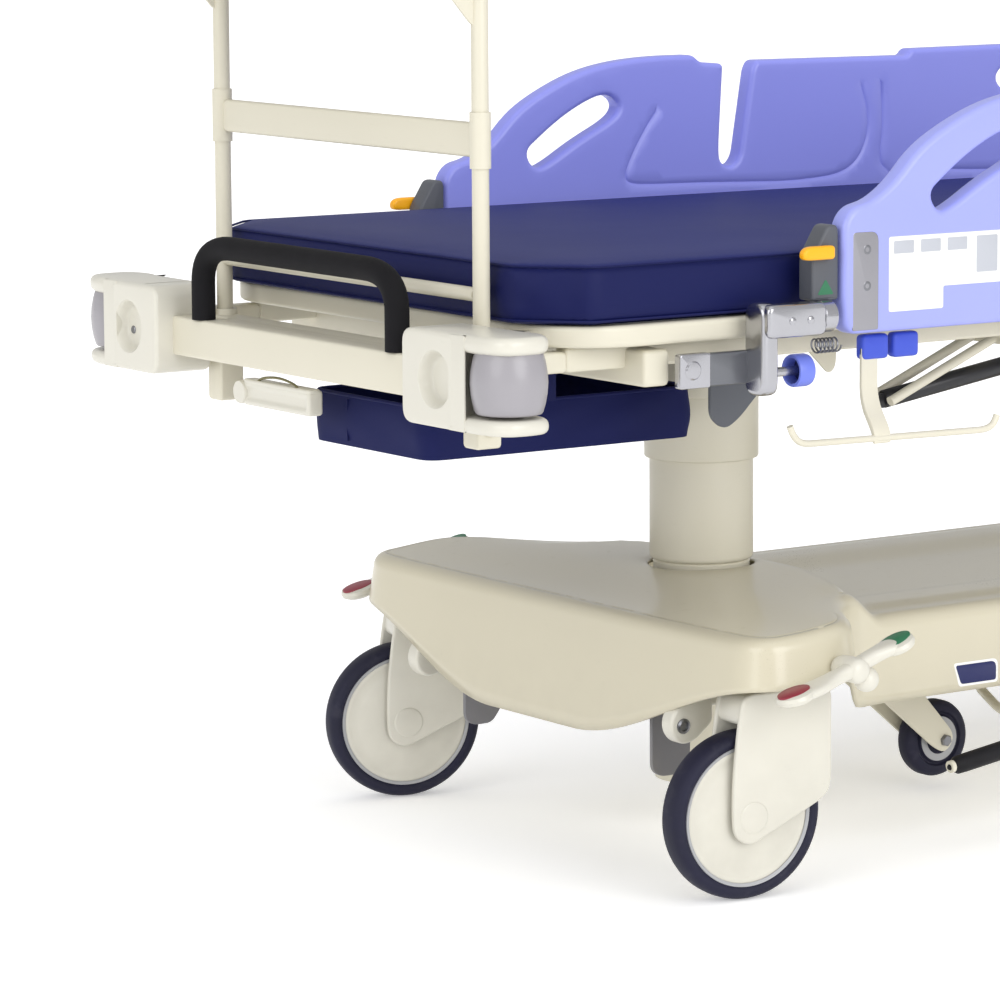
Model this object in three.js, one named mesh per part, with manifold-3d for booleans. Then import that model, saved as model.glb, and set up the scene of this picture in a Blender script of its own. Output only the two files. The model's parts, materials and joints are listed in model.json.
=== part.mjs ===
// Stretcher trolley for hospital wards, in millimetres, +Z up.
// Origin on the floor under the middle of the deck. +X runs to the head end, -Y is the near side.
import * as THREE from 'three';
import { mergeVertices } from 'three/addons/utils/BufferGeometryUtils.js';
import Module from 'manifold-3d';

const wasm = await Module();
wasm.setup();

// ---------------------------------------------------------------- driving dimensions
const GAP = 0.3; // clearance between touching pieces
const ENDS = [{ tag: 'foot', s: -1 }, { tag: 'head', s: 1 }];
const SIDES = [{ tag: 'near', s: -1 }, { tag: 'far', s: 1 }];

const CASTOR = { x: 590, y: 359, trail: 45, radius: 100, width: 40, rim: 81, top: 256 };
const SWIVEL_DEG = { foot_near: -5.5, foot_far: -17.5, head_near: 7, head_far: 12 };
const COVER = { end: 665, lobe: 425, lobeIn: 510, waist: 268, waistEnd: 360, bottom: 163, top: 322 };
const COLUMN = { x: 430, radius: 64.5, skirt: 338, top: 485, floor: 60 };
const COLLAR = { radius: 71, bottom: 465, top: 560 };
const RAM = { radius: 44, bottom: 240, shroud: 75, shroudBottom: 545, top: 658 };
const TILT_Z = 630;
const DECK = { x: 900, y: 385, bottom: 660, top: 684.7, corner: 110, tube: 25 };
const SPINE = { y: 330, width: 24, bottom: 631, top: 659.5, x: 870 };
const MATTRESS = { x: 925, y: 380, bottom: 685.3, top: 755, cut: 68 };
const BACKREST = { x: 120, z: 672 };
const NOTCH = { seat: 102, back: 132, slope: 52 };
const BAR = { front: 1020, back: 990, y: 261.5, bottom: 606, top: 653 };
const POST = { x: 942, y: 280, radius: 9.75, bottom: 562, top: 1100 };
const ROLLER = { x: 1000, y: 420, z: 632, radius: 43, height: 70 };
const RAIL = { y: 400, thick: 30, bottom: 660, foot: -543, head: 810 };
const HINGE = { y: 430, z: 683 };
const LATCH = { x: -567, z: 757 };
const BRAKE = { x: 552, z: 276, padY: 464 };
const GAS = { x: -347, y: -250, z: 553, endX: 150, endZ: 627 };
const FIFTH = { x: -58, z: 66, radius: 50, pivotX: -205, pivotZ: 190 };

// ---------------------------------------------------------------- finishes
function finish(color, roughness, metalness) {
  return new THREE.MeshStandardMaterial({ color, roughness, metalness });
}

const CREAM = finish(0xe0dcc8, 0.4, 0.1);
const BEIGE = finish(0xc8c2ae, 0.3, 0.0);
const LAVENDER = finish(0x9ba0ee, 0.4, 0.0);
const NAVY = finish(0x1e2460, 0.6, 0.0);
const BLACK = finish(0x26252b, 0.8, 0.0);
const TYRE = finish(0x26263a, 0.7, 0.0);
const GREY = finish(0xa09ca0, 0.5, 0.0);
const STEEL = finish(0xb8b8bc, 0.25, 1.0);
const YELLOW = finish(0xffb818, 0.4, 0.0);
const BLUE = finish(0x6f7fe0, 0.4, 0.0);

// ---------------------------------------------------------------- solids
function signedVolume(geometry) {
  const p = geometry.attributes.position;
  const index = geometry.index.array;
  const [a, b, c] = [new THREE.Vector3(), new THREE.Vector3(), new THREE.Vector3()];
  let sum = 0;
  for (let i = 0; i < index.length; i += 3) {
    a.fromBufferAttribute(p, index[i]);
    b.fromBufferAttribute(p, index[i + 1]);
    c.fromBufferAttribute(p, index[i + 2]);
    sum += a.dot(b.cross(c));
  }
  return sum;
}

// Shared corners merged, faces turned outwards.
function closed(geometry) {
  const bare = geometry.clone();
  bare.deleteAttribute('normal');
  bare.deleteAttribute('uv');
  const merged = mergeVertices(bare, 1e-4);
  if (signedVolume(merged) < 0) {
    merged.index.array.reverse();
  }
  return merged;
}

function toSolid(geometry) {
  const merged = closed(geometry);
  const vertProperties = new Float32Array(merged.attributes.position.array);
  const triVerts = new Uint32Array(merged.index.array);
  return new wasm.Manifold(new wasm.Mesh({ numProp: 3, vertProperties, triVerts }));
}

function fromSolid(solid) {
  const mesh = solid.getMesh();
  const geometry = new THREE.BufferGeometry();
  geometry.setAttribute('position', new THREE.BufferAttribute(mesh.vertProperties, 3));
  geometry.setIndex(new THREE.BufferAttribute(mesh.triVerts, 1));
  return geometry;
}

function join(...parts) {
  return fromSolid(parts.map(toSolid).reduce((sum, part) => sum.add(part)));
}

function cut(body, ...tools) {
  return fromSolid(tools.map(toSolid).reduce((left, tool) => left.subtract(tool), toSolid(body)));
}

function box(x0, x1, y0, y1, z0, z1) {
  const geometry = new THREE.BoxGeometry(x1 - x0, y1 - y0, z1 - z0);
  return geometry.translate((x0 + x1) / 2, (y0 + y1) / 2, (z0 + z1) / 2);
}

// Box given by its place along X and Y as mirrored pairs: s turns the sign of the side.
function sideBox(x0, x1, s, y0, y1, z0, z1) {
  return s > 0 ? box(x0, x1, y0, y1, z0, z1) : box(x0, x1, -y1, -y0, z0, z1);
}

function endBox(s, x0, x1, y0, y1, z0, z1) {
  return s > 0 ? box(x0, x1, y0, y1, z0, z1) : box(-x1, -x0, y0, y1, z0, z1);
}

function rod(from, to, radius, sides = 10) {
  const a = new THREE.Vector3(...from);
  const b = new THREE.Vector3(...to);
  const along = b.clone().sub(a);
  const geometry = new THREE.CylinderGeometry(radius, radius, along.length(), sides);
  const turn = new THREE.Quaternion().setFromUnitVectors(new THREE.Vector3(0, 1, 0), along.normalize());
  return geometry.applyQuaternion(turn).translate(...a.add(b).multiplyScalar(0.5).toArray());
}

// Turned piece on the Z axis; the profile lists radius and height.
function turned(profile, sides = 20) {
  const points = profile.map(([r, z]) => new THREE.Vector2(r, z));
  return closed(new THREE.LatheGeometry(points, sides).rotateX(Math.PI / 2));
}

function shapeOf(points, holes = []) {
  const shape = new THREE.Shape(points.map(([a, b]) => new THREE.Vector2(a, b)));
  for (const hole of holes) {
    shape.holes.push(new THREE.Path(hole.map(([a, b]) => new THREE.Vector2(a, b))));
  }
  return shape;
}

function slab(shape, depth, options = {}) {
  return new THREE.ExtrudeGeometry(shape, { depth, bevelEnabled: false, curveSegments: 4, ...options });
}

// Outline in X and Y, raised from z0 to z1.
function slabZ(shape, z0, z1) {
  return slab(shape, z1 - z0).translate(0, 0, z0);
}

// Outline in X and Z, extended from y0 to y1.
function slabY(shape, y0, y1) {
  return slab(shape, y1 - y0).rotateX(Math.PI / 2).translate(0, y1, 0);
}

function roundRect(x0, x1, y0, y1, r) {
  const shape = new THREE.Shape();
  shape.moveTo(x0 + r, y0);
  shape.lineTo(x1 - r, y0);
  shape.absarc(x1 - r, y0 + r, r, -Math.PI / 2, 0);
  shape.lineTo(x1, y1 - r);
  shape.absarc(x1 - r, y1 - r, r, 0, Math.PI / 2);
  shape.lineTo(x0 + r, y1);
  shape.absarc(x0 + r, y1 - r, r, Math.PI / 2, Math.PI);
  shape.lineTo(x0, y0 + r);
  shape.absarc(x0 + r, y0 + r, r, Math.PI, Math.PI * 1.5);
  return shape;
}

// Round bar along straight runs whose corners are rounded with the given radius.
function bentTube(points, bend, radius, steps, sides = 8) {
  const path = new THREE.CurvePath();
  const at = points.map((p) => new THREE.Vector3(...p));
  let start = at[0];
  for (let i = 1; i < at.length - 1; i += 1) {
    const back = at[i - 1].clone().sub(at[i]).setLength(bend).add(at[i]);
    const ahead = at[i + 1].clone().sub(at[i]).setLength(bend).add(at[i]);
    path.add(new THREE.LineCurve3(start, back));
    path.add(new THREE.QuadraticBezierCurve3(back, at[i], ahead));
    start = ahead;
  }
  path.add(new THREE.LineCurve3(start, at[at.length - 1]));
  const ring = new THREE.Shape();
  for (let i = 0; i < sides; i += 1) {
    const angle = (i * 2 * Math.PI) / sides;
    const [a, b] = [radius * Math.cos(angle), radius * Math.sin(angle)];
    if (i === 0) {
      ring.moveTo(a, b);
    } else {
      ring.lineTo(a, b);
    }
  }
  return new THREE.ExtrudeGeometry(ring, { extrudePath: path, steps, bevelEnabled: false });
}

const trolley = new THREE.Group();

function place(name, geometry, material, parent = trolley) {
  const mesh = new THREE.Mesh(closed(geometry), material);
  mesh.name = name;
  parent.add(mesh);
  return mesh;
}

function mirroredY(geometry) {
  return closed(closed(geometry).scale(1, -1, 1));
}

function mirroredX(geometry) {
  return closed(closed(geometry).scale(-1, 1, 1));
}

// ---------------------------------------------------------------- base
// Plan outline of the moulded cover, brought in by inset all round: four lobes over the
// castors and a waist between them, a quarter of it drawn and mirrored.
function coverOutline(inset) {
  const end = COVER.end - inset;
  const lobe = COVER.lobe - inset;
  const waist = COVER.waist - inset;
  const round = 60 - inset / 2;
  const quarter = [];
  for (let i = 0; i <= 3; i += 1) {
    const angle = (Math.PI / 2) * (i / 3);
    const x = end - round + round * Math.cos(angle);
    quarter.push([x, lobe - round + round * Math.sin(angle)]);
  }
  const bend = new THREE.CubicBezierCurve(
    new THREE.Vector2(COVER.lobeIn + inset, lobe),
    new THREE.Vector2(COVER.lobeIn - 60 + inset, lobe),
    new THREE.Vector2(COVER.waistEnd + 60, waist),
    new THREE.Vector2(COVER.waistEnd, waist),
  );
  for (const p of bend.getPoints(5)) {
    quarter.push([p.x, p.y]);
  }
  const half = [...quarter, ...quarter.map(([x, y]) => [-x, y]).reverse()];
  return shapeOf([...half, ...half.map(([x, y]) => [x, -y]).reverse()]);
}

function addBase() {
  const round = 18;
  const shell = slab(coverOutline(round), COVER.top - COVER.bottom - 2 * round, {
    bevelEnabled: true, bevelSize: round, bevelThickness: round, bevelSegments: 2,
  }).translate(0, 0, COVER.bottom + round);
  const pocket = slabZ(coverOutline(9), COVER.bottom - 5, COVER.top - 8);
  const tools = [pocket];
  for (const end of ENDS) {
    for (const side of SIDES) {
      const [x, y] = [end.s * CASTOR.x, side.s * CASTOR.y];
      tools.push(rod([x, y, 100], [x, y, CASTOR.top], 167, 20));
      tools.push(rod([end.s * BRAKE.x, side.s * 380, BRAKE.z], [end.s * BRAKE.x, side.s * 460, BRAKE.z], 13));
    }
    tools.push(rod([end.s * COLUMN.x, 0, 300], [end.s * COLUMN.x, 0, 340], COLUMN.radius + 1.5, 24));
  }
  tools.push(rod([150, -300, 225], [150, 300, 225], 12));
  place('base_cover', cut(shell, ...tools), BEIGE);

  const beams = [];
  const [low, high] = [CASTOR.top + GAP, 296];
  for (const s of [-1, 1]) {
    beams.push(endBox(s, 562, 618, -398, 398, low, high));
    beams.push(sideBox(-570, 570, s, 90, 130, low, high));
    beams.push(sideBox(FIFTH.pivotX - 20, FIFTH.pivotX + 20, s, 34, 40, 165, high));
    for (const side of SIDES) {
      beams.push(endBox(s, 596, 652, side.s * 200 - 3, side.s * 200 + 3, 112, low + 1));
    }
  }
  beams.push(box(FIFTH.pivotX - 25, FIFTH.pivotX + 25, -100, 100, low, high));
  beams.push(box(-14, 14, -100, 100, low, high));
  beams.push(box(-14, 14, 60, 68, 165, low + 1));
  beams.push(box(-14, 14, -68, -60, 165, low + 1));
  const bores = ENDS.map(({ s }) => rod([s * BRAKE.x, -140, BRAKE.z], [s * BRAKE.x, 140, BRAKE.z], 8.2));
  place('chassis_frame', cut(join(...beams), ...bores), CREAM);
}

// ---------------------------------------------------------------- castors
function castorFork() {
  const { trail, radius, top } = CASTOR;
  const outline = new THREE.Shape();
  outline.moveTo(60, 206);
  outline.lineTo(60, 128);
  outline.lineTo(-trail + 18, radius - 24);
  outline.absarc(-trail, radius, 30, -0.93, Math.PI, true);
  outline.lineTo(-trail - 30, 206);
  const cheek = slabY(outline, 22.5, 29);
  const block = box(-trail - 30, 60, -29, 29, 204, 244);
  const stem = rod([0, 0, 240], [0, 0, top], 26, 16);
  const axle = rod([-trail, -25, radius], [-trail, 25, radius], 5.5, 8);
  return join(cheek, mirroredY(cheek), block, stem, axle);
}

function addCastors() {
  const { width, rim, radius, trail } = CASTOR;
  const tread = [
    [rim + GAP, -15], [89, -width / 2], [97, -15], [radius, -6],
    [radius, 6], [97, 15], [89, width / 2], [rim + GAP, 15], [rim + GAP, -15],
  ];
  const web = [[6.5, -17], [34, -17], [76, -13], [rim, -14], [rim, 14], [76, 13], [34, 17], [6.5, 17], [6.5, -17]];
  for (const end of ENDS) {
    for (const side of SIDES) {
      const tag = `${end.tag}_${side.tag}`;
      const corner = new THREE.Group();
      corner.position.set(end.s * CASTOR.x, side.s * CASTOR.y, 0);
      corner.rotation.z = THREE.MathUtils.degToRad(SWIVEL_DEG[tag]);
      trolley.add(corner);
      place(`castor_fork_${tag}`, castorFork(), CREAM, corner);
      const wheel = new THREE.Group();
      wheel.position.set(-trail, 0, radius);
      wheel.rotation.x = Math.PI / 2;
      corner.add(wheel);
      place(`castor_tyre_${tag}`, turned(tread), TYRE, wheel);
      place(`castor_wheel_${tag}`, turned(web), CREAM, wheel);
    }
  }
}

// ---------------------------------------------------------------- brake, fifth wheel and pumps
// One shaft across the trolley with a rocking pedal outside each lobe.
function brakePedals() {
  const ends = [{ way: -1, dx: 85, dz: 23.5 }, { way: 1, dx: 60, dz: 25 }];
  const parts = [rod([-BRAKE.x, -BRAKE.padY, BRAKE.z], [-BRAKE.x, BRAKE.padY, BRAKE.z], 7)];
  for (const side of SIDES) {
    const y = side.s * BRAKE.padY;
    parts.push(rod([-BRAKE.x, y - side.s * 32, BRAKE.z], [-BRAKE.x, y + side.s * 10, BRAKE.z], 15));
    for (const { way, dx, dz } of ends) {
      const tilt = Math.atan2(dz, dx);
      const pad = new THREE.SphereGeometry(1, 10, 4).scale(28, 20, 7);
      pad.rotateY(-tilt).translate(-BRAKE.x + way * dx, y, BRAKE.z + 3 + way * dz);
      const arm = box(0, Math.hypot(dx, dz), -9, 9, -8, 5).rotateY(way > 0 ? -tilt : Math.PI - tilt);
      parts.push(pad, arm.translate(-BRAKE.x, y, BRAKE.z));
    }
  }
  return join(...parts);
}

function fifthWheelArm() {
  const { x, z, pivotX, pivotZ } = FIFTH;
  const outline = shapeOf([
    [pivotX - 14, pivotZ - 12], [x - 14, z - 14], [x + 14, z - 14],
    [x + 16, z + 6], [pivotX + 24, pivotZ + 14], [pivotX - 10, pivotZ + 14],
  ]);
  const plate = slabY(outline, 22, 27);
  const bridge = box(pivotX - 10, pivotX + 14, -25, 25, pivotZ - 10, pivotZ + 10);
  const pin = rod([pivotX, -33.5, pivotZ], [pivotX, 33.5, pivotZ], 8);
  const axle = rod([x, -24, z], [x, 24, z], 5, 8);
  return join(plate, mirroredY(plate), bridge, pin, axle);
}

// Foot bar along each side, low at its ends and high where the cross shaft carries it.
function pumpBars() {
  const parts = [rod([0, -330, 150], [0, 330, 150], 8)];
  for (const side of SIDES) {
    const y = side.s * 330;
    parts.push(rod([-302, y, 109], [4, y, 150.6], 11.5), rod([302, y, 109], [-4, y, 150.6], 11.5));
    parts.push(rod([-60, side.s * 90, 150], [-111, side.s * 200, 138], 6, 8));
    parts.push(rod([-111, side.s * 200, 138], [-130, y, 132.5], 6, 8));
    parts.push(rod([-60, side.s * 90, 150], [2, side.s * 90, 150], 6, 8));
  }
  return join(...parts);
}

function releasePedals() {
  const parts = [rod([150, -292, 225], [150, 292, 225], 8)];
  for (const side of SIDES) {
    const y = side.s * 300;
    parts.push(rod([150, y - 12, 225], [150, y + 12, 225], 14));
    parts.push(rod([150, y, 228], [212, y, 252], 7, 8));
    parts.push(box(201, 307, y - 22, y + 22, 250, 266));
  }
  return join(...parts);
}

function addPedals() {
  place('brake_pedals_foot', brakePedals(), CREAM);
  place('brake_pedals_head', mirroredX(brakePedals()), CREAM);
  place('fifth_wheel_arm', fifthWheelArm(), CREAM);
  const wheel = turned([[6, -14], [6, 14], [34, 14], [FIFTH.radius, 9], [FIFTH.radius, -9], [34, -14], [6, -14]]);
  wheel.rotateX(Math.PI / 2).translate(FIFTH.x, 0, FIFTH.z);
  place('fifth_wheel', wheel, TYRE);
  place('pump_bars', pumpBars(), BLACK);
  place('release_pedals', releasePedals(), BLACK);
}

// ---------------------------------------------------------------- lifting columns
// Each column is a fixed cylinder, a middle stage with an outer collar, and a ram whose
// shroud slides down over the collar when its end of the deck tilts down.
function addColumns() {
  const { radius, skirt, top, floor } = COLUMN;
  const cylinder = [
    [0, floor], [58, floor], [58, 296.5], [100, 296.5], [100, 303], [60, 303], [60, skirt],
    [radius - 5, skirt], [radius, skirt + 6], [radius, top], [54.5, top], [54.5, floor + 6], [0, floor + 6],
  ];
  const stage = [
    [46.5, 130], [53, 130], [53, COLLAR.top - 6], [radius + 1.2, COLLAR.top - 6],
    [radius + 1.2, COLLAR.bottom], [COLLAR.radius, COLLAR.bottom], [COLLAR.radius, COLLAR.top],
    [46.5, COLLAR.top], [46.5, 130],
  ];
  const ram = [
    [0, RAM.bottom], [RAM.radius, RAM.bottom], [RAM.radius, 652], [RAM.shroud - 3, 652],
    [RAM.shroud - 3, RAM.shroudBottom], [RAM.shroud, RAM.shroudBottom], [RAM.shroud, 648],
    [66, RAM.top], [0, RAM.top],
  ];
  for (const end of ENDS) {
    const x = end.s * COLUMN.x;
    place(`column_${end.tag}_cylinder`, turned(cylinder).translate(x, 0, 0), CREAM);
    place(`column_${end.tag}_stage`, turned(stage).translate(x, 0, 0), CREAM);
    const pins = rod([x, -RAM.shroud - 2.6, TILT_Z], [x, RAM.shroud + 2.6, TILT_Z], 10);
    const hollow = rod([x, -RAM.shroud + 2, TILT_Z], [x, RAM.shroud - 2, TILT_Z], 10.5);
    place(`column_${end.tag}_ram`, join(turned(ram).translate(x, 0, 0), cut(pins, hollow)), CREAM);
  }
}

// ---------------------------------------------------------------- deck structure
function underFrame() {
  const parts = [];
  const { y, width, bottom, top, x } = SPINE;
  for (const s of [-1, 1]) {
    parts.push(sideBox(-x, x, s, y - width / 2, y + width / 2, bottom, top));
    parts.push(endBox(s, 754, 789, -380, 380, 612, 654));
    parts.push(endBox(s, 385, 475, -345, 345, 677, 680));
    for (const side of SIDES) {
      const inner = y - width / 2;
      const riser = side.s > 0 ? [inner, inner + width] : [-inner - width, -inner];
      parts.push(endBox(s, 385, 475, ...riser, top - 1, 680));
      const cheek = side.s > 0 ? [78, 84] : [-84, -78];
      parts.push(endBox(s, 395, 465, ...cheek, 605, 678));
    }
  }
  // The beam stops either side of the gas spring, which swings up through the gap.
  for (const [y0, y1] of [[-330, GAS.y - 17], [GAS.y + 17, 330]]) {
    parts.push(box(60, 95, y0, y1, 631, 655));
  }
  parts.push(box(-185, -160, -330, 330, 612, 645));
  for (const y0 of [-270, -230]) {
    parts.push(rod([-172, y0, 625], [GAS.x, y0, GAS.z], 6, 8));
  }
  return join(...parts);
}

// Sheet between a square inner end and an outer end whose corners follow the frame.
function panOutline(inner, outer, y, r) {
  const shape = new THREE.Shape();
  shape.moveTo(inner, -y);
  shape.lineTo(outer - r, -y);
  shape.absarc(outer - r, -y + r, r, -Math.PI / 2, 0);
  shape.absarc(outer - r, y - r, r, 0, Math.PI / 2);
  shape.lineTo(inner, y);
  return shape;
}

function addDeck() {
  const { x, y, bottom, top, corner, tube } = DECK;
  const ring = roundRect(-x, x, -y, y, corner);
  const inner = roundRect(-x + tube, x - tube, -y + tube, y - tube, corner - tube);
  ring.holes.push(new THREE.Path(inner.getPoints(6).reverse()));
  place('deck_frame', slabZ(ring, bottom, top), CREAM);
  place('under_frame', underFrame(), CREAM);
  const [low, bend] = [top - 4.4, corner - tube + 1];
  const seatPan = mirroredX(slabZ(panOutline(-106, x - tube - 1, y - tube - 1, bend), low, top));
  place('deck_pan', seatPan, GREY);
  const levers = [-262, -244].map((y0) => box(136, 164, y0, y0 + 6, 612, 681));
  const backPan = slabZ(panOutline(122, x - tube - 5, y - tube - 5, bend), low, top);
  place('backrest_pan', join(backPan, ...levers), GREY);
}

function addMattress() {
  const { x, y, bottom, top, cut: c } = MATTRESS;
  const rise = top + 5 - bottom;
  const slope = (NOTCH.slope * rise) / (top - bottom);
  const wedge = shapeOf([
    [NOTCH.seat, bottom], [NOTCH.back, bottom],
    [NOTCH.back + slope, bottom + rise], [NOTCH.seat - slope, bottom + rise],
  ]);
  const notch = slabY(wedge, -y - 10, y + 10);
  const below = box(NOTCH.seat, NOTCH.back, -y - 10, y + 10, bottom - 5, bottom + 1);
  const seat = slabZ(shapeOf([
    [-x, -y + c], [-x + c, -y], [NOTCH.seat + 10, -y], [NOTCH.seat + 10, y], [-x + c, y], [-x, y - c],
  ]), bottom, top);
  const back = slabZ(shapeOf([
    [NOTCH.back - 10, -y], [x - c, -y], [x, -y + c], [x, y - c], [x - c, y], [NOTCH.back - 10, y],
  ]), bottom, top);
  place('mattress_seat', cut(seat, notch, below), NAVY);
  place('mattress_back', cut(back, notch, below), NAVY);
}

// ---------------------------------------------------------------- ends of the deck
function endBar(withSockets) {
  const parts = [
    box(BAR.back, BAR.front, -BAR.y, BAR.y, BAR.bottom, BAR.top),
    box(960, BAR.back + 1, -235, 235, 640, 650),
    box(930, 964, -345, 345, 622, 650),
  ];
  const bores = [];
  for (const s of [-1, 1]) {
    parts.push(sideBox(SPINE.x + 0.5, 935, s, 318, 342, 631, 655));
    if (withSockets) {
      parts.push(sideBox(POST.x - 14.5, POST.x + 14.5, s, POST.y - 18.5, POST.y + 18.5, 545, 657));
      bores.push(rod([POST.x, s * POST.y, POST.bottom - 2], [POST.x, s * POST.y, 700], POST.radius + 0.8, 16));
    }
  }
  const whole = join(...parts);
  return bores.length ? cut(whole, ...bores) : whole;
}

// Moulded corner block: prongs above and below hold the bumper roller, and a round recess
// in its outer face holds the fixing screw. Drawn for the head end, far side.
function bumperHousing() {
  const { x, y, radius } = ROLLER;
  const block = slabZ(roundRect(965, 1045, 262, 405, 14), 570, 690);
  const prongs = [[570, 591], [673, 690]].map(([z0, z1]) => rod([x, y, z0], [x, y, z1], radius - 2, 16));
  const bay = rod([x, y, 591], [x, y, 673], radius + 4.5, 16);
  const recess = rod([1037, 338, 632], [1050, 338, 632], 33, 12);
  return cut(join(block, ...prongs), bay, recess);
}

function bumperRoller() {
  const { radius, height } = ROLLER;
  const half = height / 2;
  return turned([
    [0, -half], [radius - 12, -half], [radius - 3, -half + 9], [radius, 0],
    [radius - 3, half - 9], [radius - 12, half], [0, half],
  ], 16);
}

function pushHandle() {
  const [x, y, z] = [1005, 213, 742.3];
  return bentTube([[x, -y, BAR.top + GAP], [x, -y, z], [x, y, z], [x, y, BAR.top + GAP]], 60, 14.7, 22);
}

function addEnds() {
  for (const end of ENDS) {
    const facing = end.s > 0 ? (g) => g : mirroredX;
    place(`${end.tag}_bar`, facing(endBar(end.s < 0)), CREAM);
    place(`push_handle_${end.tag}`, facing(pushHandle()), BLACK);
    for (const side of SIDES) {
      const turnedTo = side.s > 0 ? (g) => g : mirroredY;
      place(`bumper_housing_${end.tag}_${side.tag}`, turnedTo(facing(bumperHousing())), CREAM);
      const roller = bumperRoller().translate(end.s * ROLLER.x, side.s * ROLLER.y, ROLLER.z);
      place(`bumper_roller_${end.tag}_${side.tag}`, roller, GREY);
    }
  }
}

// Lift-out frame at the foot with a shelf for equipment.
function addFootFrame() {
  const { x, y, radius, bottom, top } = POST;
  const parts = [];
  for (const s of [-1, 1]) {
    parts.push(rod([-x, s * y, bottom], [-x, s * y, top], radius));
    const gusset = shapeOf([[-x, 1022], [-x, top], [-x - 76, top], [-x - 76, top - 12]]);
    parts.push(slabY(gusset, s * y - 3, s * y + 3));
  }
  parts.push(box(-x - 3, -x + 3, -y, y, 872, 911));
  parts.push(rod([-x, -y, 718], [-x, y, 718], 8, 8));
  parts.push(box(-x - 60, -x + 120, -y - 6, -y + 6, top - 8, top));
  parts.push(box(-x - 60, -x + 120, y - 6, y + 6, top - 8, top));
  place('foot_frame', join(...parts), CREAM);
  place('equipment_shelf', slabZ(roundRect(-1045, -765, -310, 310, 40), top + GAP, top + 18), CREAM);
}

// ---------------------------------------------------------------- side rails
// Outline of a rail in X and Z: a rising curved foot end, a narrow notch, a raised head part.
function railOutline() {
  return shapeOf([
    [-530, 660], [RAIL.foot, 672], [RAIL.foot, 790], [-526, 806], [-500, 813], [-467, 835], [-432, 870],
    [-388, 895], [-333, 919], [-276, 930], [-212, 936], [-146, 936], [-134, 926], [-96, 923],
    [-101, 807], [-88, 793], [-68, 806], [-49, 913], [-42, 926], [218, 925], [226, 934], [500, 936],
    [560, 931], [620, 919], [680, 896], [728, 862], [770, 826], [RAIL.head, 800], [RAIL.head, 668], [802, 660],
  ], [
    [[-412, 820], [-397, 797], [-381, 806], [-333, 830], [-277, 857],
      [-265, 873], [-285, 890], [-317, 882], [-365, 857]],
    [[378, 889], [394, 872], [540, 872], [556, 889], [540, 906], [394, 906]],
  ]);
}

function addRails() {
  for (const side of SIDES) {
    const turnedTo = side.s > 0 ? (g) => g : mirroredY;
    const plate = slabY(railOutline(), RAIL.y, RAIL.y + RAIL.thick);
    place(`side_rail_${side.tag}`, turnedTo(plate), LAVENDER);

    const hinge = join(
      box(-760, -650, 395, 407, 610, 650),
      box(-666, -640, 397, 438, 597, 704),
      box(-650, -567, 418, 444, 664, 702),
      rod([-570, HINGE.y, HINGE.z], [RAIL.foot - 1.5, HINGE.y, HINGE.z], 9),
      box(-590, -570, 396, 444, 668, 702),
      box(-585, -546, 396, 424, 700, 788),
    );
    place(`rail_hinge_${side.tag}`, turnedTo(hinge), STEEL);
    const lever = join(
      box(-606, -560, 424.3, 436, 749, 765),
      box(-606, -588, 410, 430, 751, 763),
      rod([LATCH.x, 424.3, LATCH.z], [LATCH.x, 438, LATCH.z], 5.6),
    );
    place(`latch_lever_${side.tag}`, turnedTo(lever), YELLOW);
    const knob = join(
      rod([-639.7, 412, 622], [-588, 412, 622], 6, 8),
      cut(rod([-606, 412, 622], [-582, 412, 622], 19, 16), rod([-618, 412, 622], [-590, 412, 622], 14, 16)),
    );
    place(`release_knob_${side.tag}`, turnedTo(knob), BLUE);

    const rack = join(
      bentTube([[-614, 424, 556], [-602, 424, 538], [-326, 424, 534], [-309, 424, 548]], 9, 4, 16, 6),
      box(-495, -471, 422, 426.5, 538, 560),
      slab(shapeOf([[422, 538], [426, 538], [401, 575], [401, 628], [397, 628], [397, 573]]), 24)
        .applyMatrix4(new THREE.Matrix4().makeBasis(
          new THREE.Vector3(0, 1, 0), new THREE.Vector3(0, 0, 1), new THREE.Vector3(1, 0, 0),
        )).translate(-495, 0, 0),
      box(-495, -410, 388, 404, 625, 655),
    );
    place(`drainage_rack_${side.tag}`, turnedTo(rack), CREAM);
  }
}

// ---------------------------------------------------------------- gas spring, tray and tilt handle
function addUnderDeck() {
  const start = new THREE.Vector3(GAS.x, GAS.y, GAS.z);
  const end = new THREE.Vector3(GAS.endX, GAS.y, GAS.endZ);
  const at = (share) => start.clone().lerp(end, share).toArray();
  place('gas_cylinder', join(
    cut(rod(at(0.008), at(0.58), 11), rod(at(0.1), at(0.6), 6)),
    rod([GAS.x, GAS.y - 6, GAS.z], [GAS.x, GAS.y + 6, GAS.z], 9),
  ), BLACK);
  place('gas_rod', join(
    rod(at(0.14), at(0.985), 5),
    rod([GAS.endX, GAS.y - 5, GAS.endZ], [GAS.endX, GAS.y + 5, GAS.endZ], 9),
  ), STEEL);

  const outer = shapeOf([[-940, 515], [-620, 519], [-556, 546], [-556, 578], [-940, 578]]);
  const inner = shapeOf([[-933, 522], [-622, 526], [-563, 551], [-563, 590], [-933, 590]]);
  const tray = cut(slabY(outer, -165, 95), slabY(inner, -158, 88), box(-900, -630, -170, -150, 548, 590));
  const straps = [];
  for (const y of [-165, 88]) {
    straps.push(box(-780, -760, y, y + 7, 540, SPINE.bottom - 19.3));
  }
  place('equipment_tray', join(tray, ...straps), NAVY);

  const grip = join(
    box(-1002, -980, -7, 160, 556, 588),
    rod([-1004, 150, 572], [-978, 150, 572], 14),
  );
  place('tilt_handle', grip, CREAM);
}

addBase();
addCastors();
addPedals();
addColumns();
addDeck();
addMattress();
addEnds();
addFootFrame();
addRails();
addUnderDeck();

export default trolley;
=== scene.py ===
import json
import math

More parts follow.
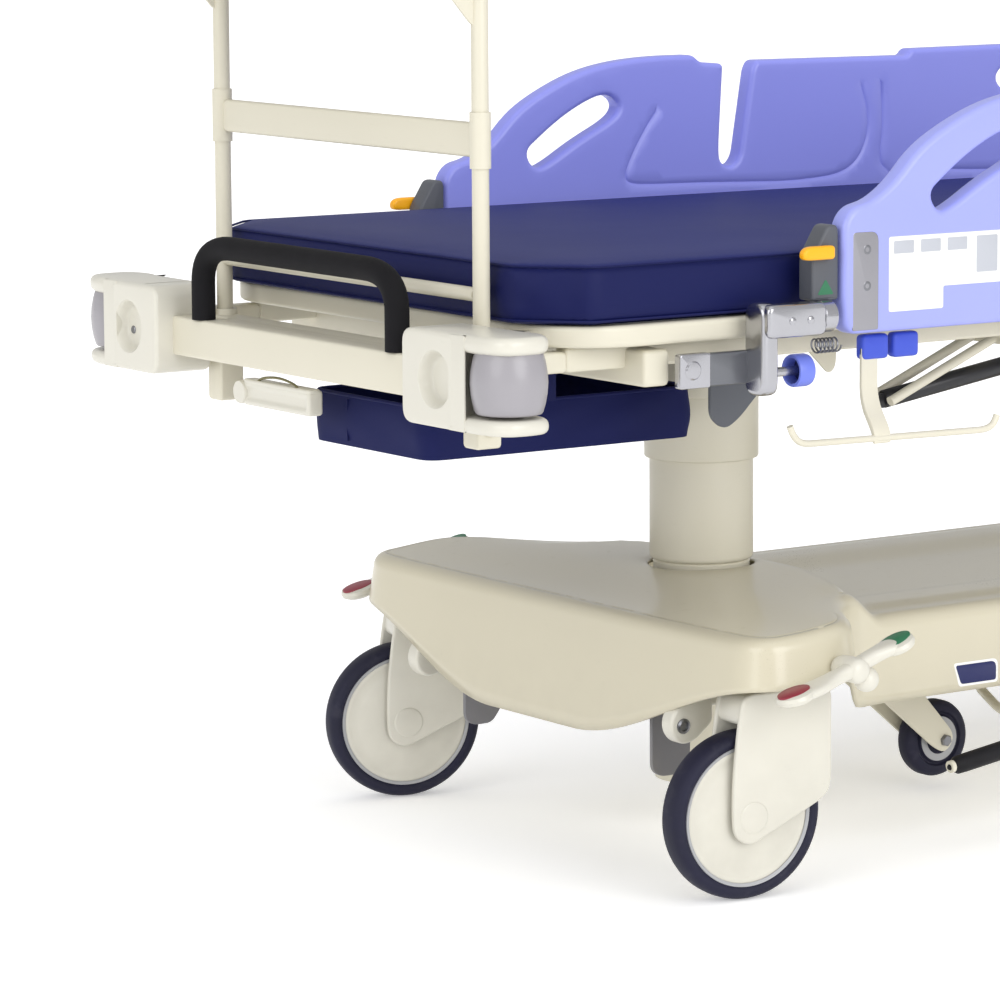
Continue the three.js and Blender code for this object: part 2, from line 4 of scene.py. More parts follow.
import bmesh
import bpy
import numpy as np
from mathutils import Matrix, Vector
from mathutils.geometry import delaunay_2d_cdt


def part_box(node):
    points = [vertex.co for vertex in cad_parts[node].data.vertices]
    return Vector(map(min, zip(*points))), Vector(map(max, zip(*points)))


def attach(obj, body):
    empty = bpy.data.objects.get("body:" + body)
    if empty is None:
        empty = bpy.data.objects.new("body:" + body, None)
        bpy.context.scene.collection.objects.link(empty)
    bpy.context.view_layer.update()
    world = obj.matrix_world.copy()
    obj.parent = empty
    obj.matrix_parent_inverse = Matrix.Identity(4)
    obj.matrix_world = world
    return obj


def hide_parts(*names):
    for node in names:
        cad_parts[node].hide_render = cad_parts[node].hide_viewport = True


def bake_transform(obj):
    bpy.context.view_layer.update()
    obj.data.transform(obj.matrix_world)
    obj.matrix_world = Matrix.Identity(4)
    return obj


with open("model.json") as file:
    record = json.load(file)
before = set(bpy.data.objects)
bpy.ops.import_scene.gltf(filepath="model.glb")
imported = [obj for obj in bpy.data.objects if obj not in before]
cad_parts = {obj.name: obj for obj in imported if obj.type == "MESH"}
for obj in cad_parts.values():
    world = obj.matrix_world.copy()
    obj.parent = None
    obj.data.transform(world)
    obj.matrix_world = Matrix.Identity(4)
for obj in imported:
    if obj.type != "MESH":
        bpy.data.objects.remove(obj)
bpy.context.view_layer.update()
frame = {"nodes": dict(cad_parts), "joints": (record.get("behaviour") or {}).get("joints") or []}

MM = 0.001
ENDS = {"foot": -1, "head": 1}
SIDES = {"near": -1, "far": 1}

# Places that several pieces share, in millimetres, as distances from the middle of the trolley.
COLUMN_BORE = 66.5
BEARER_IN, BEARER_OUT, BEARER_Z = 318, 342, 631
POST_X, POST_Y = 942, 280
ROLLER_X, ROLLER_Y = 1000, 420
CASTOR_HUB = (-45, 0, 100)  # from the castor's swivel
FIFTH_AXLE = (-58.0, 66.0)  # along, up


def span(node):
    """Lowest and highest corner of a CAD node, in millimetres."""
    low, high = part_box(node)
    return np.array(low) / MM, np.array(high) / MM


# ---------------------------------------------------------------- curves and surfaces
def unit(v):
    """Each vector over its own length."""
    return v / np.maximum(np.linalg.norm(v, axis=-1, keepdims=True), 1e-12)


def smooth(x, start, end):
    """0 before start, 1 after end, and 3t^2 - 2t^3 between them."""
    t = np.clip((np.asarray(x, float) - start) / (end - start), 0, 1)
    return t * t * (3 - 2 * t)


def eased(corners, reach, steps=7, closed=True):
    """A corner c becomes the curve (1-t)^2 a + 2t(1-t) c + t^2 b, where a and b lie on its two
    edges, `reach` away from it and never past their middles."""
    c = np.asarray(corners, float)
    reach = np.broadcast_to(np.asarray(reach, float), len(c))[:, None]
    before, after = np.roll(c, 1, 0) - c, np.roll(c, -1, 0) - c
    a = c + unit(before) * np.minimum(reach, 0.5 * np.linalg.norm(before, axis=1)[:, None])
    b = c + unit(after) * np.minimum(reach, 0.5 * np.linalg.norm(after, axis=1)[:, None])
    if not closed:
        a[0] = b[0] = c[0]
        a[-1] = b[-1] = c[-1]
    t = np.linspace(0, 1, steps)[None, :, None]
    curve = (1 - t) ** 2 * a[:, None] + 2 * t * (1 - t) * c[:, None] + t * t * b[:, None]
    curve = curve.reshape(-1, c.shape[1])
    apart = np.linalg.norm(curve - np.roll(curve, 1, 0), axis=1) > 1e-4
    if not closed:
        apart[0] = True
    return curve[apart]


def circle(radius, steps=24, centre=(0, 0)):
    """Points at even angles q: centre + radius * (cos q, sin q)."""
    turn = np.arange(steps) * 2 * math.pi / steps
    return np.column_stack([np.cos(turn), np.sin(turn)]) * radius + np.asarray(centre, float)


def oblong(width, height, radius):
    """Rectangle about the origin with eased corners."""
    w, h = width / 2, height / 2
    return eased([(-w, -h), (w, -h), (w, h), (-w, h)], radius)


def grid_faces(rows, columns, wrap_rows=False, wrap_columns=False):
    """Quads of a grid of points that are numbered row by row."""
    r = np.arange(rows if wrap_rows else rows - 1)[:, None]
    c = np.arange(columns if wrap_columns else columns - 1)[None, :]
    down, along = (r + 1) % rows, (c + 1) % columns
    quads = np.stack([r * columns + c, r * columns + along,
                      down * columns + along, down * columns + c], -1)
    return quads.reshape(-1, 4).tolist()


def swept(path, section, up=(0, 0, 1), loop=False):
    """A flat section carried along a path: its first axis stays square to the path and to `up`,
    and its second is square to both. A section per path point makes it taper."""
    path, section = np.asarray(path, float), np.asarray(section, float)
    ahead, behind = np.roll(path, -1, 0) - path, path - np.roll(path, 1, 0)
    if not loop:
        ahead[-1], behind[0] = behind[-1], ahead[0]
    along = unit(unit(ahead) + unit(behind))
    across = unit(np.cross(along, np.asarray(up, float)))
    rise = np.cross(across, along)
    section = np.broadcast_to(section, (len(path), *section.shape[-2:]))
    points = path[:, None] + section[..., :1] * across[:, None] + section[..., 1:] * rise[:, None]
    n, k = points.shape[:2]
    faces = grid_faces(n, k, wrap_rows=loop, wrap_columns=True)
    if not loop:
        faces += [list(range(k)), list(range((n - 1) * k, n * k))]
    return points.reshape(-1, 3), faces


def tube(path, radius, up=(0, 0, 1), steps=20, loop=False):
    """A circle carried along a path."""
    return swept(path, circle(radius, steps), up, loop)


def turned(profile, centre, axis=(0, 0, 1), steps=56):
    """A profile of (radius, height) pairs turned about the axis through centre: the point at angle
    q is centre + height * axis + radius * (cos q * u + sin q * v). It closes on itself unless its
    ends are on the axis."""
    profile = np.asarray(profile, float)
    axis = unit(np.asarray(axis, float))
    u = unit(np.cross(axis, (0.3, 0.2, 1.0) if abs(axis[2]) < 0.9 else (1.0, 0, 0)))
    v = np.cross(axis, u)
    q = np.arange(steps) * 2 * math.pi / steps
    ring = np.cos(q)[:, None] * u + np.sin(q)[:, None] * v
    points = np.asarray(centre, float) + profile[:, 1, None, None] * axis + profile[:, 0, None, None] * ring
    faces = grid_faces(len(profile), steps, wrap_rows=profile[[0, -1], 0].max() > 0, wrap_columns=True)
    return points.reshape(-1, 3), faces


def drum(radius, low, high):
    """The profile of a plain cylinder, for turned."""
    return [(0, low), (radius, low), (radius, high), (0, high)]


def mirrored(half):
    """A turned profile that is the same on both sides of height 0, from its lower half."""
    return half + [(r, -h) for r, h in half[::-1] if h]


def lattice(xs, ys):
    """The points where every x of one row of levels meets every y of another."""
    x, y = np.meshgrid(xs, ys)
    return np.column_stack([x.ravel(), y.ravel()])


def inset(loop, distance):
    """Each point of a loop moved to its left by `distance`, more at a corner so that edges keep it."""
    edge = unit(np.roll(loop, -1, 0) - loop)
    left = np.column_stack([-edge[:, 1], edge[:, 0]])
    before = np.roll(left, 1, 0)
    middle = unit(left + before)
    stretch = 1 / np.maximum((middle * left).sum(1), 0.6)
    return loop + middle * stretch[:, None] * distance


def wound(loop, outer=True):
    """The loop wound so that material is on its left: anticlockwise outside, clockwise round a hole."""
    x, y = loop.T
    area = (x * np.roll(y, -1) - np.roll(x, -1) * y).sum()
    return loop if (area > 0) == outer else loop[::-1]


def within(points, loops):
    """True where a line from the point in +X crosses the loops an odd number of times."""
    odd = np.zeros(len(points), bool)
    x, y = points[:, :1], points[:, 1:]
    for loop in loops:
        a, b = loop, np.roll(loop, -1, 0)
        crosses = (a[:, 1] > y) != (b[:, 1] > y)
        rise = np.where(a[:, 1] == b[:, 1], 1.0, b[:, 1] - a[:, 1])
        odd ^= ((crosses & (x < a[:, 0] + (y - a[:, 1]) * (b[:, 0] - a[:, 0]) / rise)).sum(1) % 2) == 1
    return odd


def filled(loops, dots=None, lines=()):
    """Triangles that fill the space between loops, through the given dots and along the lines."""
    rows = [*loops, *lines, *([dots] if dots is not None and len(dots) else [])]
    start = np.cumsum([0, *map(len, rows)])
    edges = []
    for i, row in enumerate(rows[:len(loops) + len(lines)]):
        index = np.arange(len(row))
        pairs = np.column_stack([index, np.roll(index, -1)]) + start[i]
        edges += (pairs if i < len(loops) else pairs[:-1]).tolist()
    out = delaunay_2d_cdt([Vector(p) for p in np.vstack(rows).tolist()], edges, [], 0, 1e-4)
    points, triangles = np.array([tuple(p) for p in out[0]]), np.array(out[2])
    return points, triangles[within(points[triangles].mean(1), loops)]


def moulded(outline, low, high, radius, holes=(), relief=None, dots=None, lines=(), axes="xyz", steps=5):
    """A plate between two levels with rounded edges: at angle a its ring is the outline moved in
    by radius (1 - cos a), at radius (1 - sin a) below the face. relief adds to the upper face."""
    turn = np.linspace(0, math.pi / 2, steps)
    inward, drop = radius * (1 - np.cos(turn)), radius * (1 - np.sin(turn))
    points, faces, tops = [], [], []
    count = 0
    flat = relief is None and not len(holes)
    for i, loop in enumerate([outline, *holes]):
        loop = wound(np.asarray(loop, float), outer=i == 0)
        rings = [inset(loop, d) for d in inward]
        rows = [np.column_stack([r, np.full(len(r), low + d)]) for r, d in zip(rings[::-1], drop[::-1])]
        rows += [np.column_stack([r, np.full(len(r), high - d)]) for r, d in zip(rings, drop)]
        faces += (np.array(grid_faces(len(rows), len(loop), wrap_columns=True)) + count).tolist()
        if flat:
            faces += [list(range(len(loop))), list(range((len(rows) - 1) * len(loop), len(rows) * len(loop)))]
        points.append(np.vstack(rows))
        tops.append(rings[-1])
        count += len(points[-1])
    if not flat:
        for level, lift in ((low, None), (high, relief)):
            keep = dots[within(dots, tops)] if dots is not None and lift is not None else None
            flatwise, triangles = filled(tops, keep, lines if lift is not None else ())
            height = level + (lift(flatwise) if lift is not None else np.zeros(len(flatwise)))
            points.append(np.column_stack([flatwise, height]))
            faces += (triangles + count).tolist()
            count += len(flatwise)
    return np.vstack(points)[:, [axes.index(a) for a in "xyz"]], faces


def upright(outline, a, b, radius, steps=5):
    """A moulded plate that stands in XZ, between two levels of Y."""
    return moulded(outline, min(a, b), max(a, b), radius, axes="xzy", steps=steps)


def block(low, high, radius=3.0, corner=None):
    """Box between two corners with rounded edges, drawn across its shortest way."""
    low, high = np.minimum(low, high).astype(float), np.maximum(low, high).astype(float)
    w = int(np.argmin(high - low))
    u, v = [i for i in range(3) if i != w]
    radius = min(radius, 0.49 * (high - low)[w])
    middle = (low + high) / 2
    outline = oblong(high[u] - low[u], high[v] - low[v], 1.6 * max(corner or radius, radius)) + middle[[u, v]]
    return moulded(outline, low[w], high[w], radius, axes="".join("xyz"[i] for i in (u, v, w)), steps=4)


def joined(*parts):
    """Several (points, faces) as one."""
    points, faces, count = [], [], 0
    for p, f in parts:
        points.append(p)
        faces += [[i + count for i in face] for face in f]
        count += len(p)
    return np.vstack(points), faces


def flipped(part, x=1, y=1):
    """The part mirrored in X or Y."""
    return part[0] * np.array([x, y, 1.0]), part[1]


def leaned(part, angle, pivot, axis="Y"):
    """The part turned by an angle in degrees about an axis through pivot."""
    turn = np.array(Matrix.Rotation(math.radians(angle), 3, axis))
    return (part[0] - pivot) @ turn.T + pivot, part[1]


def swivelled(part, end, side):
    """A castor part, drawn with its swivel at the origin, brought to its corner of the base."""
    tag = f"{end}_{side}"
    joints = {j["name"]: j for j in frame["joints"]}
    stem = np.array(joints[f"castor_{tag}_swivel"]["pos_m"]) / MM
    across = joints[f"wheel_{tag}_spin"]["axis"]
    turn = math.degrees(math.atan2(-across[0], across[1]))
    points, faces = leaned(part, turn, np.zeros(3), "Z")
    return points + np.array([stem[0], stem[1], 0]), faces


# ---------------------------------------------------------------- pieces
def shade(mesh, sharp):
    """Smooth shading, with an edge kept sharp where its faces meet at more than `sharp` degrees."""
    mesh.polygons.foreach_set("use_smooth", np.ones(len(mesh.polygons), bool))
    mesh.set_sharp_from_angle(angle=math.radians(sharp))


def piece(name, part, finish, body, replaces=(), sharp=38.0):
    """A mesh piece from (points, faces) in millimetres, closed, facing outwards, riding on a body."""
    points, faces = part
    mesh = bpy.data.meshes.new(name)
    mesh.from_pydata((np.asarray(points) * MM).tolist(), [], faces)
    bm = bmesh.new()
    bm.from_mesh(mesh)
    bmesh.ops.remove_doubles(bm, verts=bm.verts, dist=2e-6)
    bmesh.ops.recalc_face_normals(bm, faces=bm.faces)
    bm.to_mesh(mesh)
    bm.free()
    shade(mesh, sharp)
    mesh.materials.append(finish)
    obj = bpy.data.objects.new(name, mesh)
    bpy.context.scene.collection.objects.link(obj)
    if body:
        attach(obj, body)
    if replaces:
        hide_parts(*([replaces] if isinstance(replaces, str) else replaces))
    return obj


def evaluated(obj):
    """The mesh of an object with its modifiers applied."""
    bpy.context.view_layer.update()
    graph = bpy.context.evaluated_depsgraph_get()
    return bpy.data.meshes.new_from_object(obj.evaluated_get(graph))


def read_points(mesh):
    """The mesh's vertices as rows of an array, in metres."""
    flat = np.empty(len(mesh.vertices) * 3)
    mesh.vertices.foreach_get("co", flat)
    return flat.reshape(-1, 3)


def write_points(mesh, points):
    """Put rows of an array back as the mesh's vertices."""
    mesh.vertices.foreach_set("co", np.asarray(points, float).ravel())
    mesh.update()


# ---------------------------------------------------------------- shader terms
class Term:
    """A shader socket: arithmetic on it adds Math nodes."""

    def __init__(self, tree, socket):
        self.tree, self.socket = tree, socket

    def math(self, operation, other=None, swapped=False):
        """A Math node on this value and another, or on this one alone."""
        node = self.tree.nodes.new("ShaderNodeMath")
        node.operation = operation
        values = [self] if other is None else ([other, self] if swapped else [self, other])
        for port, value in zip(node.inputs, values):
            feed(self.tree, port, value)
        return Term(self.tree, node.outputs[0])

    def __add__(self, other):
        return self.math("ADD", other)

    def __sub__(self, other):
        return self.math("SUBTRACT", other)

    def __rsub__(self, other):
        return self.math("SUBTRACT", other, swapped=True)

    def __mul__(self, other):
        return self.math("MULTIPLY", other)

    __radd__ = __add__
    __rmul__ = __mul__


def feed(tree, port, value):
    """Link a socket or a Term to a port, or set a plain value on it."""
    if isinstance(value, Term):
        value = value.socket
    if isinstance(value, bpy.types.NodeSocket):
        tree.links.new(value, port)
    else:
        port.default_value = value


def tint(code):
    """Linear colour of a hex code: c / 12.92 below 0.04045, else ((c + 0.055) / 1.055) ^ 2.4."""
    c = np.array([int(code[i:i + 2], 16) for i in (1, 3, 5)]) / 255
    linear = np.where(c <= 0.04045, c / 12.92, ((c + 0.055) / 1.055) ** 2.4)
    return (*linear.tolist(), 1.0)


def scaled(colour, factor):
    """The colour times a factor, at most 1."""
    return (*[min(1.0, c * factor) for c in colour[:3]], 1.0)


class Finish:
    """One material. Its shader's constants are set on it, and what varies is fed to it."""

    def __init__(self, name, **constants):
        self.material = bpy.data.materials.new(name)
        self.material.use_nodes = True
        self.tree = self.material.node_tree
        self.tree.nodes.clear()
        self.shader = self.node("ShaderNodeBsdfPrincipled", {},
                                {key.replace("_", " "): value for key, value in constants.items()})
        self.node("ShaderNodeOutputMaterial", {}, {"Surface": self.shader.outputs[0]})
        self.place = self.node("ShaderNodeTexCoord").outputs["Object"]

    def node(self, kind, settings=None, sockets=None):
        """Any node: its settings are set first, then its sockets get values or links."""
        node = self.tree.nodes.new(kind)
        for key, value in (settings or {}).items():
            setattr(node, key, value)
        for key, value in (sockets or {}).items():
            feed(self.tree, node.inputs[key], value)
        return node

    def noise(self, scale, detail=2.0, stretch=None, roughness=0.5):
        """Noise of about 1 / scale metres; stretch scales the place along each axis first."""
        place = self.place
        if stretch:
            place = self.node("ShaderNodeVectorMath", {"operation": "MULTIPLY"},
                              {0: place, 1: stretch}).outputs[0]
        node = self.node("ShaderNodeTexNoise", {}, {"Vector": place, "Scale": scale, "Detail": detail,
                                                    "Roughness": roughness})
        return Term(self.tree, node.outputs[0])

    def cells(self, scale, feature="F1"):
        """Distance to the nearest point of a scatter about 1 / scale metres apart."""
        node = self.node("ShaderNodeTexVoronoi", {"feature": feature}, {"Vector": self.place, "Scale": scale})
        return Term(self.tree, node.outputs["Distance"])

    def along(self, axis):
        """The place along one axis, in metres."""
        node = self.node("ShaderNodeSeparateXYZ", {}, {0: self.place})
        return Term(self.tree, node.outputs["XYZ".index(axis)])

    def step(self, value, start, end):
        """0 below start, 1 above end, eased between them."""
        node = self.node("ShaderNodeMapRange", {"interpolation_type": "SMOOTHSTEP"},
                         {"Value": value, "From Min": start, "From Max": end})
        return Term(self.tree, node.outputs[0])

    def mix(self, factor, a, b):
        """Colour a at factor 0 and b at 1."""
        node = self.node("ShaderNodeMix", {"data_type": "RGBA"}, {0: factor, 6: a, 7: b})
        return node.outputs[2]

    def bump(self, height, strength, distance):
        """A normal tilted by the slope of a height."""
        return self.node("ShaderNodeBump", {}, {"Strength": strength, "Distance": distance,
                                                "Height": height}).outputs[0]

    def show(self, **sockets):
        """Feed the shader's sockets and give the material."""
        for key, value in sockets.items():
            feed(self.tree, self.shader.inputs[key.replace("_", " ")], value)
        return self.material


def hard(name, code, rough, grain=900.0, depth=0.00012, strength=0.25, mottle=0.05, metal=0.0,
         coat=0.0, dusty=0.0, floor_dirt=0.0):
    """Moulded plastic or painted metal: a fine grain, slow changes of shade, faint scuffs and,
    where asked, dust in the shade and dirt towards the floor."""
    f = Finish(name, Metallic=metal, Coat_Weight=coat, Coat_Roughness=0.12)
    colour = tint(code)
    slow, fine, scuff = f.noise(4.0, 3.0), f.noise(grain, 2.0), f.noise(60.0, 4.0, stretch=(1.0, 1.0, 4.0))
    shade_of = f.mix(slow, scaled(colour, 1 - mottle), scaled(colour, 1 + mottle))
    worn = f.step(scuff, 0.62, 0.78)
    shade_of = f.mix(worn * 0.12, shade_of, scaled(colour, 0.82))
    if dusty:
        shade_of = f.mix(f.step(f.noise(14.0, 5.0), 0.45, 0.75) * dusty, shade_of, tint("#8F8A80"))
    if floor_dirt:
        low = 1 - f.step(f.along("Z"), 0.0, 0.3)
        shade_of = f.mix(low * f.noise(30.0, 5.0) * floor_dirt, shade_of, tint("#6E685C"))
    roughness = fine * 0.08 + worn * 0.10 + (slow * 0.08 + (rough - 0.08))
    height = fine + slow * 0.6
    return f.show(Base_Color=shade_of, Roughness=roughness, Normal=f.bump(height, strength, depth))


def coated_cloth(name, code, lit, rough=0.42):
    """Coated weave: a fine square of raised threads, slow creases, and a painted highlight on top, where
    faces that point up go towards the lit colour.
    """
    f = Finish(name, Specular_IOR_Level=0.2, Sheen_Weight=0.06, Sheen_Roughness=0.5,
               Sheen_Tint=tint("#5560C8"))
    pitch = 0.0011
    threads = [(f.along(axis) * (2 * math.pi / pitch)).math("SINE") for axis in "XYZ"]
    weave = threads[0] * threads[1] + threads[1] * threads[2] + threads[2] * threads[0]
    slow, crease = f.noise(3.0, 3.0), f.noise(11.0, 4.0, stretch=(0.5, 1.2, 1.4))
    up = f.node("ShaderNodeSeparateXYZ", {}, {0: f.node("ShaderNodeNewGeometry").outputs["Normal"]})
    # Painted highlight: the more a face points up, the more its colour goes towards the lit colour, as if
    # light fell on the tops.
    painted_top_light = f.step(Term(f.tree, up.outputs[2]), 0.5, 1.0)
    colour = f.mix(slow * 0.6, scaled(tint(code), 0.85), scaled(tint(code), 1.2))
    colour = f.mix(painted_top_light * (slow * 0.3 + 0.45), colour, tint(lit))
    height = weave * 0.02 + crease * 0.9 + slow
    return f.show(Base_Color=colour, Roughness=rough + slow * 0.14, Normal=f.bump(height, 0.35, 0.0022))


def foam(name, code, rough=0.86):
    """Closed-cell foam or moulded rubber: small cells and pits."""
    f = Finish(name, Specular_IOR_Level=0.25)
    cell, slow = f.cells(1500.0), f.noise(22.0, 4.0)
    colour = f.mix(slow, scaled(tint(code), 0.7), scaled(tint(code), 1.35))
    return f.show(Base_Color=colour, Roughness=rough - slow * 0.12,
                  Normal=f.bump(cell + slow * 0.5, 0.35, 0.0003))


def tyre_rubber(name, code, edge):
    """Tyre rubber: mould grain, paler worn shoulders and a film of floor dust."""
    f = Finish(name, Specular_IOR_Level=0.3)
    slow, fine = f.noise(18.0, 5.0), f.noise(1200.0, 2.0)
    colour = f.mix(slow, scaled(tint(code), 0.8), tint(edge))
    colour = f.mix(f.step(f.noise(45.0, 6.0), 0.52, 0.75) * 0.12, colour, tint("#5A5960"))
    return f.show(Base_Color=colour, Roughness=0.5 + slow * 0.22, Normal=f.bump(fine + slow, 0.3, 0.0002))


def brushed(name, code, rough, stretch=(1.0, 1.0, 30.0), streak=260.0):
    """Bright metal drawn or brushed along its length, with faint smears."""
    f = Finish(name, Metallic=1.0)
    lines, smear = f.noise(streak, 2.0, stretch), f.noise(16.0, 4.0)
    colour = f.mix(smear * 0.5 + lines * 0.4, scaled(tint(code), 0.78), scaled(tint(code), 1.08))
    return f.show(Base_Color=colour, Roughness=lines * 0.14 + smear * 0.12 + (rough - 0.1),
                  Normal=f.bump(lines, 0.12, 0.00006))


BEIGE = hard("beige_shell", "#CDC6AF", 0.30, grain=500.0, depth=0.0001, strength=0.12, mottle=0.035,
             coat=0.35, floor_dirt=0.35)
CREAM = hard("cream_powder_coat", "#D8D3C1", 0.40, grain=1300.0, strength=0.35, mottle=0.04)
IVORY = hard("ivory_plastic", "#D6D3C7", 0.34, grain=900.0, mottle=0.03, coat=0.2, floor_dirt=0.25)
GREY_PAINT = hard("grey_chassis_paint", "#77767A", 0.48, grain=1300.0, strength=0.4, mottle=0.08, dusty=0.35)
TYRE = tyre_rubber("castor_tyre", "#17172A", "#22223A")
BLACK_RUBBER = foam("black_rubber", "#131216", 0.62)
FOAM = foam("grip_foam", "#0F0E12")
ROLLER = hard("grey_roller", "#9C999E", 0.36, grain=700.0, mottle=0.05, coat=0.25)
# Painted light: one lavender plastic in two copies, lighter on the near rail as if lit and darker on the far
# rail as if in shade.
RAIL_LAVENDER_LIT_AND_SHADED = {
    "near": hard("rail_lavender_painted_lit_near", "#9DA4EE", 0.36, grain=420.0, depth=0.0003, mottle=0.03, coat=0.1),
    "far": hard("rail_lavender_painted_shade_far", "#8F94EA", 0.38, grain=420.0, depth=0.0003, mottle=0.03, coat=0.1),
}
# The second colour of each cloth is a painted highlight: the colour its top faces get as if lit from above.
NAVY = coated_cloth("mattress_cover", "#0F164E", "#1E286E", 0.5)
PIPING = coated_cloth("mattress_piping", "#11174C", "#1F266A", 0.55)
BAG = coated_cloth("bag_cloth", "#0F164C", "#161D58", 0.6)
STEEL = brushed("polished_steel", "#BFBFC4", 0.2)
DARK_STEEL = brushed("offset_bracket_steel", "#7E8085", 0.3, (30.0, 1.0, 1.0))
ALUMINIUM = brushed("aluminium_plate", "#A9A8AE", 0.36)
SHEET = hard("pan_grey_sheet", "#A7A8AB", 0.45, grain=1100.0, mottle=0.06)
LATCH_GREY = hard("latch_grey", "#55585F", 0.45, grain=900.0, mottle=0.06)
YELLOW = hard("latch_yellow", "#FFB20F", 0.36, grain=800.0, mottle=0.04)
KNOB = hard("knob_periwinkle", "#6F7FE0", 0.34, grain=900.0, mottle=0.04)
# Painted shade: a dark disc of the knob's own blue, laid on the floor of its cup where the hollow is in
# shade.
KNOB_PAINTED_SHADE = hard("knob_painted_shade", "#1C2462", 0.6, mottle=0.06)
CLIP = hard("clip_blue", "#3A52C8", 0.38, mottle=0.05)
BLACK = hard("black_paint", "#232327", 0.34, mottle=0.08)
LABEL = hard("label_white", "#F1F1EE", 0.42, mottle=0.015, grain=1600.0)
LABEL_GREY = hard("label_grey", "#B9BCC4", 0.45, mottle=0.03)
BADGE = hard("badge_navy", "#1A2158", 0.3, mottle=0.04)
RED = hard("pedal_red", "#8E2C3C", 0.4, mottle=0.06)
GREEN = hard("pedal_green", "#2C7350", 0.4, mottle=0.06)
OLIVE = brushed("spring_olive", "#8A8560", 0.35)
SCREW = brushed("screw_steel", "#8E8F94", 0.28)


# ---------------------------------------------------------------- base
def cover_outline(steps=9):
    """Bone-shaped plan of the cover: two lobes joined by a waist, as eased corners."""
    end, lobe = span("base_cover")[1][:2]
    quarter = [(end, 0), (end, lobe - 75), (end - 14, lobe - 8), (end - 70, lobe), (end - 126, lobe),
               (end - 160, lobe - 26), (end - 202, lobe - 100), (end - 244, lobe - 148),
               (end - 300, lobe - 170), (end - 400, lobe - 173)]
    right = np.array([*quarter, *[(x, -y) for x, y in quarter[::-1] if y]])
    upper = right[right[:, 1] >= 0]
    loop = np.vstack([upper, (upper * [-1, 1])[::-1][:-1], (upper * [-1, -1])[1:],
                      (upper * [1, -1])[::-1][:-1]])
    keep = np.unique(loop.round(3), axis=0, return_index=True)[1]
    return wound(eased(loop[np.sort(keep)], 400, steps))


def resampled(loop, pitch):
    """The closed loop as points a fixed way apart."""
    closed = np.vstack([loop, loop[:1]])
    length = np.concatenate([[0], np.cumsum(np.linalg.norm(np.diff(closed, axis=0), axis=1))])
    at = np.arange(0, length[-1], length[-1] / round(length[-1] / pitch))
    return np.column_stack([np.interp(at, length, closed[:, i]) for i in (0, 1)])


def cover_waist(p):
    """1 on the waist and 0 on the lobes, over a slope 60 mm wide that sweeps back with |y|."""
    x, y = np.abs(p[:, 0]), np.abs(p[:, 1])
    line = 338 + 0.3 * np.maximum(y - 120, 0)
    return 1 - smooth(x - line, -30, 30)


def cover_top(p):
    """Height of the cover's top over its edge level: a low crown on each lobe, and along the waist
    a shallow channel between two rounded rims."""
    x, y, waist = np.abs(p[:, 0]), np.abs(p[:, 1]), cover_waist(p)
    crown = 10 * (1 - smooth(y, 60, 380)) * (1 - smooth(x, 440, 650))
    rim = 10 * smooth(y, 95, 160) * (1 - smooth(y, 195, 240))
    return (1 - waist) * crown + waist * (rim - 5)


def cover_edge_level(p):
    """The edge of the top: rising from the ends to the columns, and lower along the waist."""
    x, waist = np.abs(p[:, 0]), cover_waist(p)
    return (1 - waist) * (324 - 10 * smooth(x, 500, 650)) + waist * 290


def cover_hem(p):
    """Lower edge of the cover: dips in the middle of each end, clears the castors and drops again
    along the waist."""
    x, y = np.abs(p[:, 0]), np.abs(p[:, 1])
    side = 182 + 101 * smooth(x, 385, 442) - 27 * smooth(x, 505, 600)
    end = 166 + 90 * smooth(y, 90, 440)
    return np.where(x < 600, side, np.minimum(side, end))


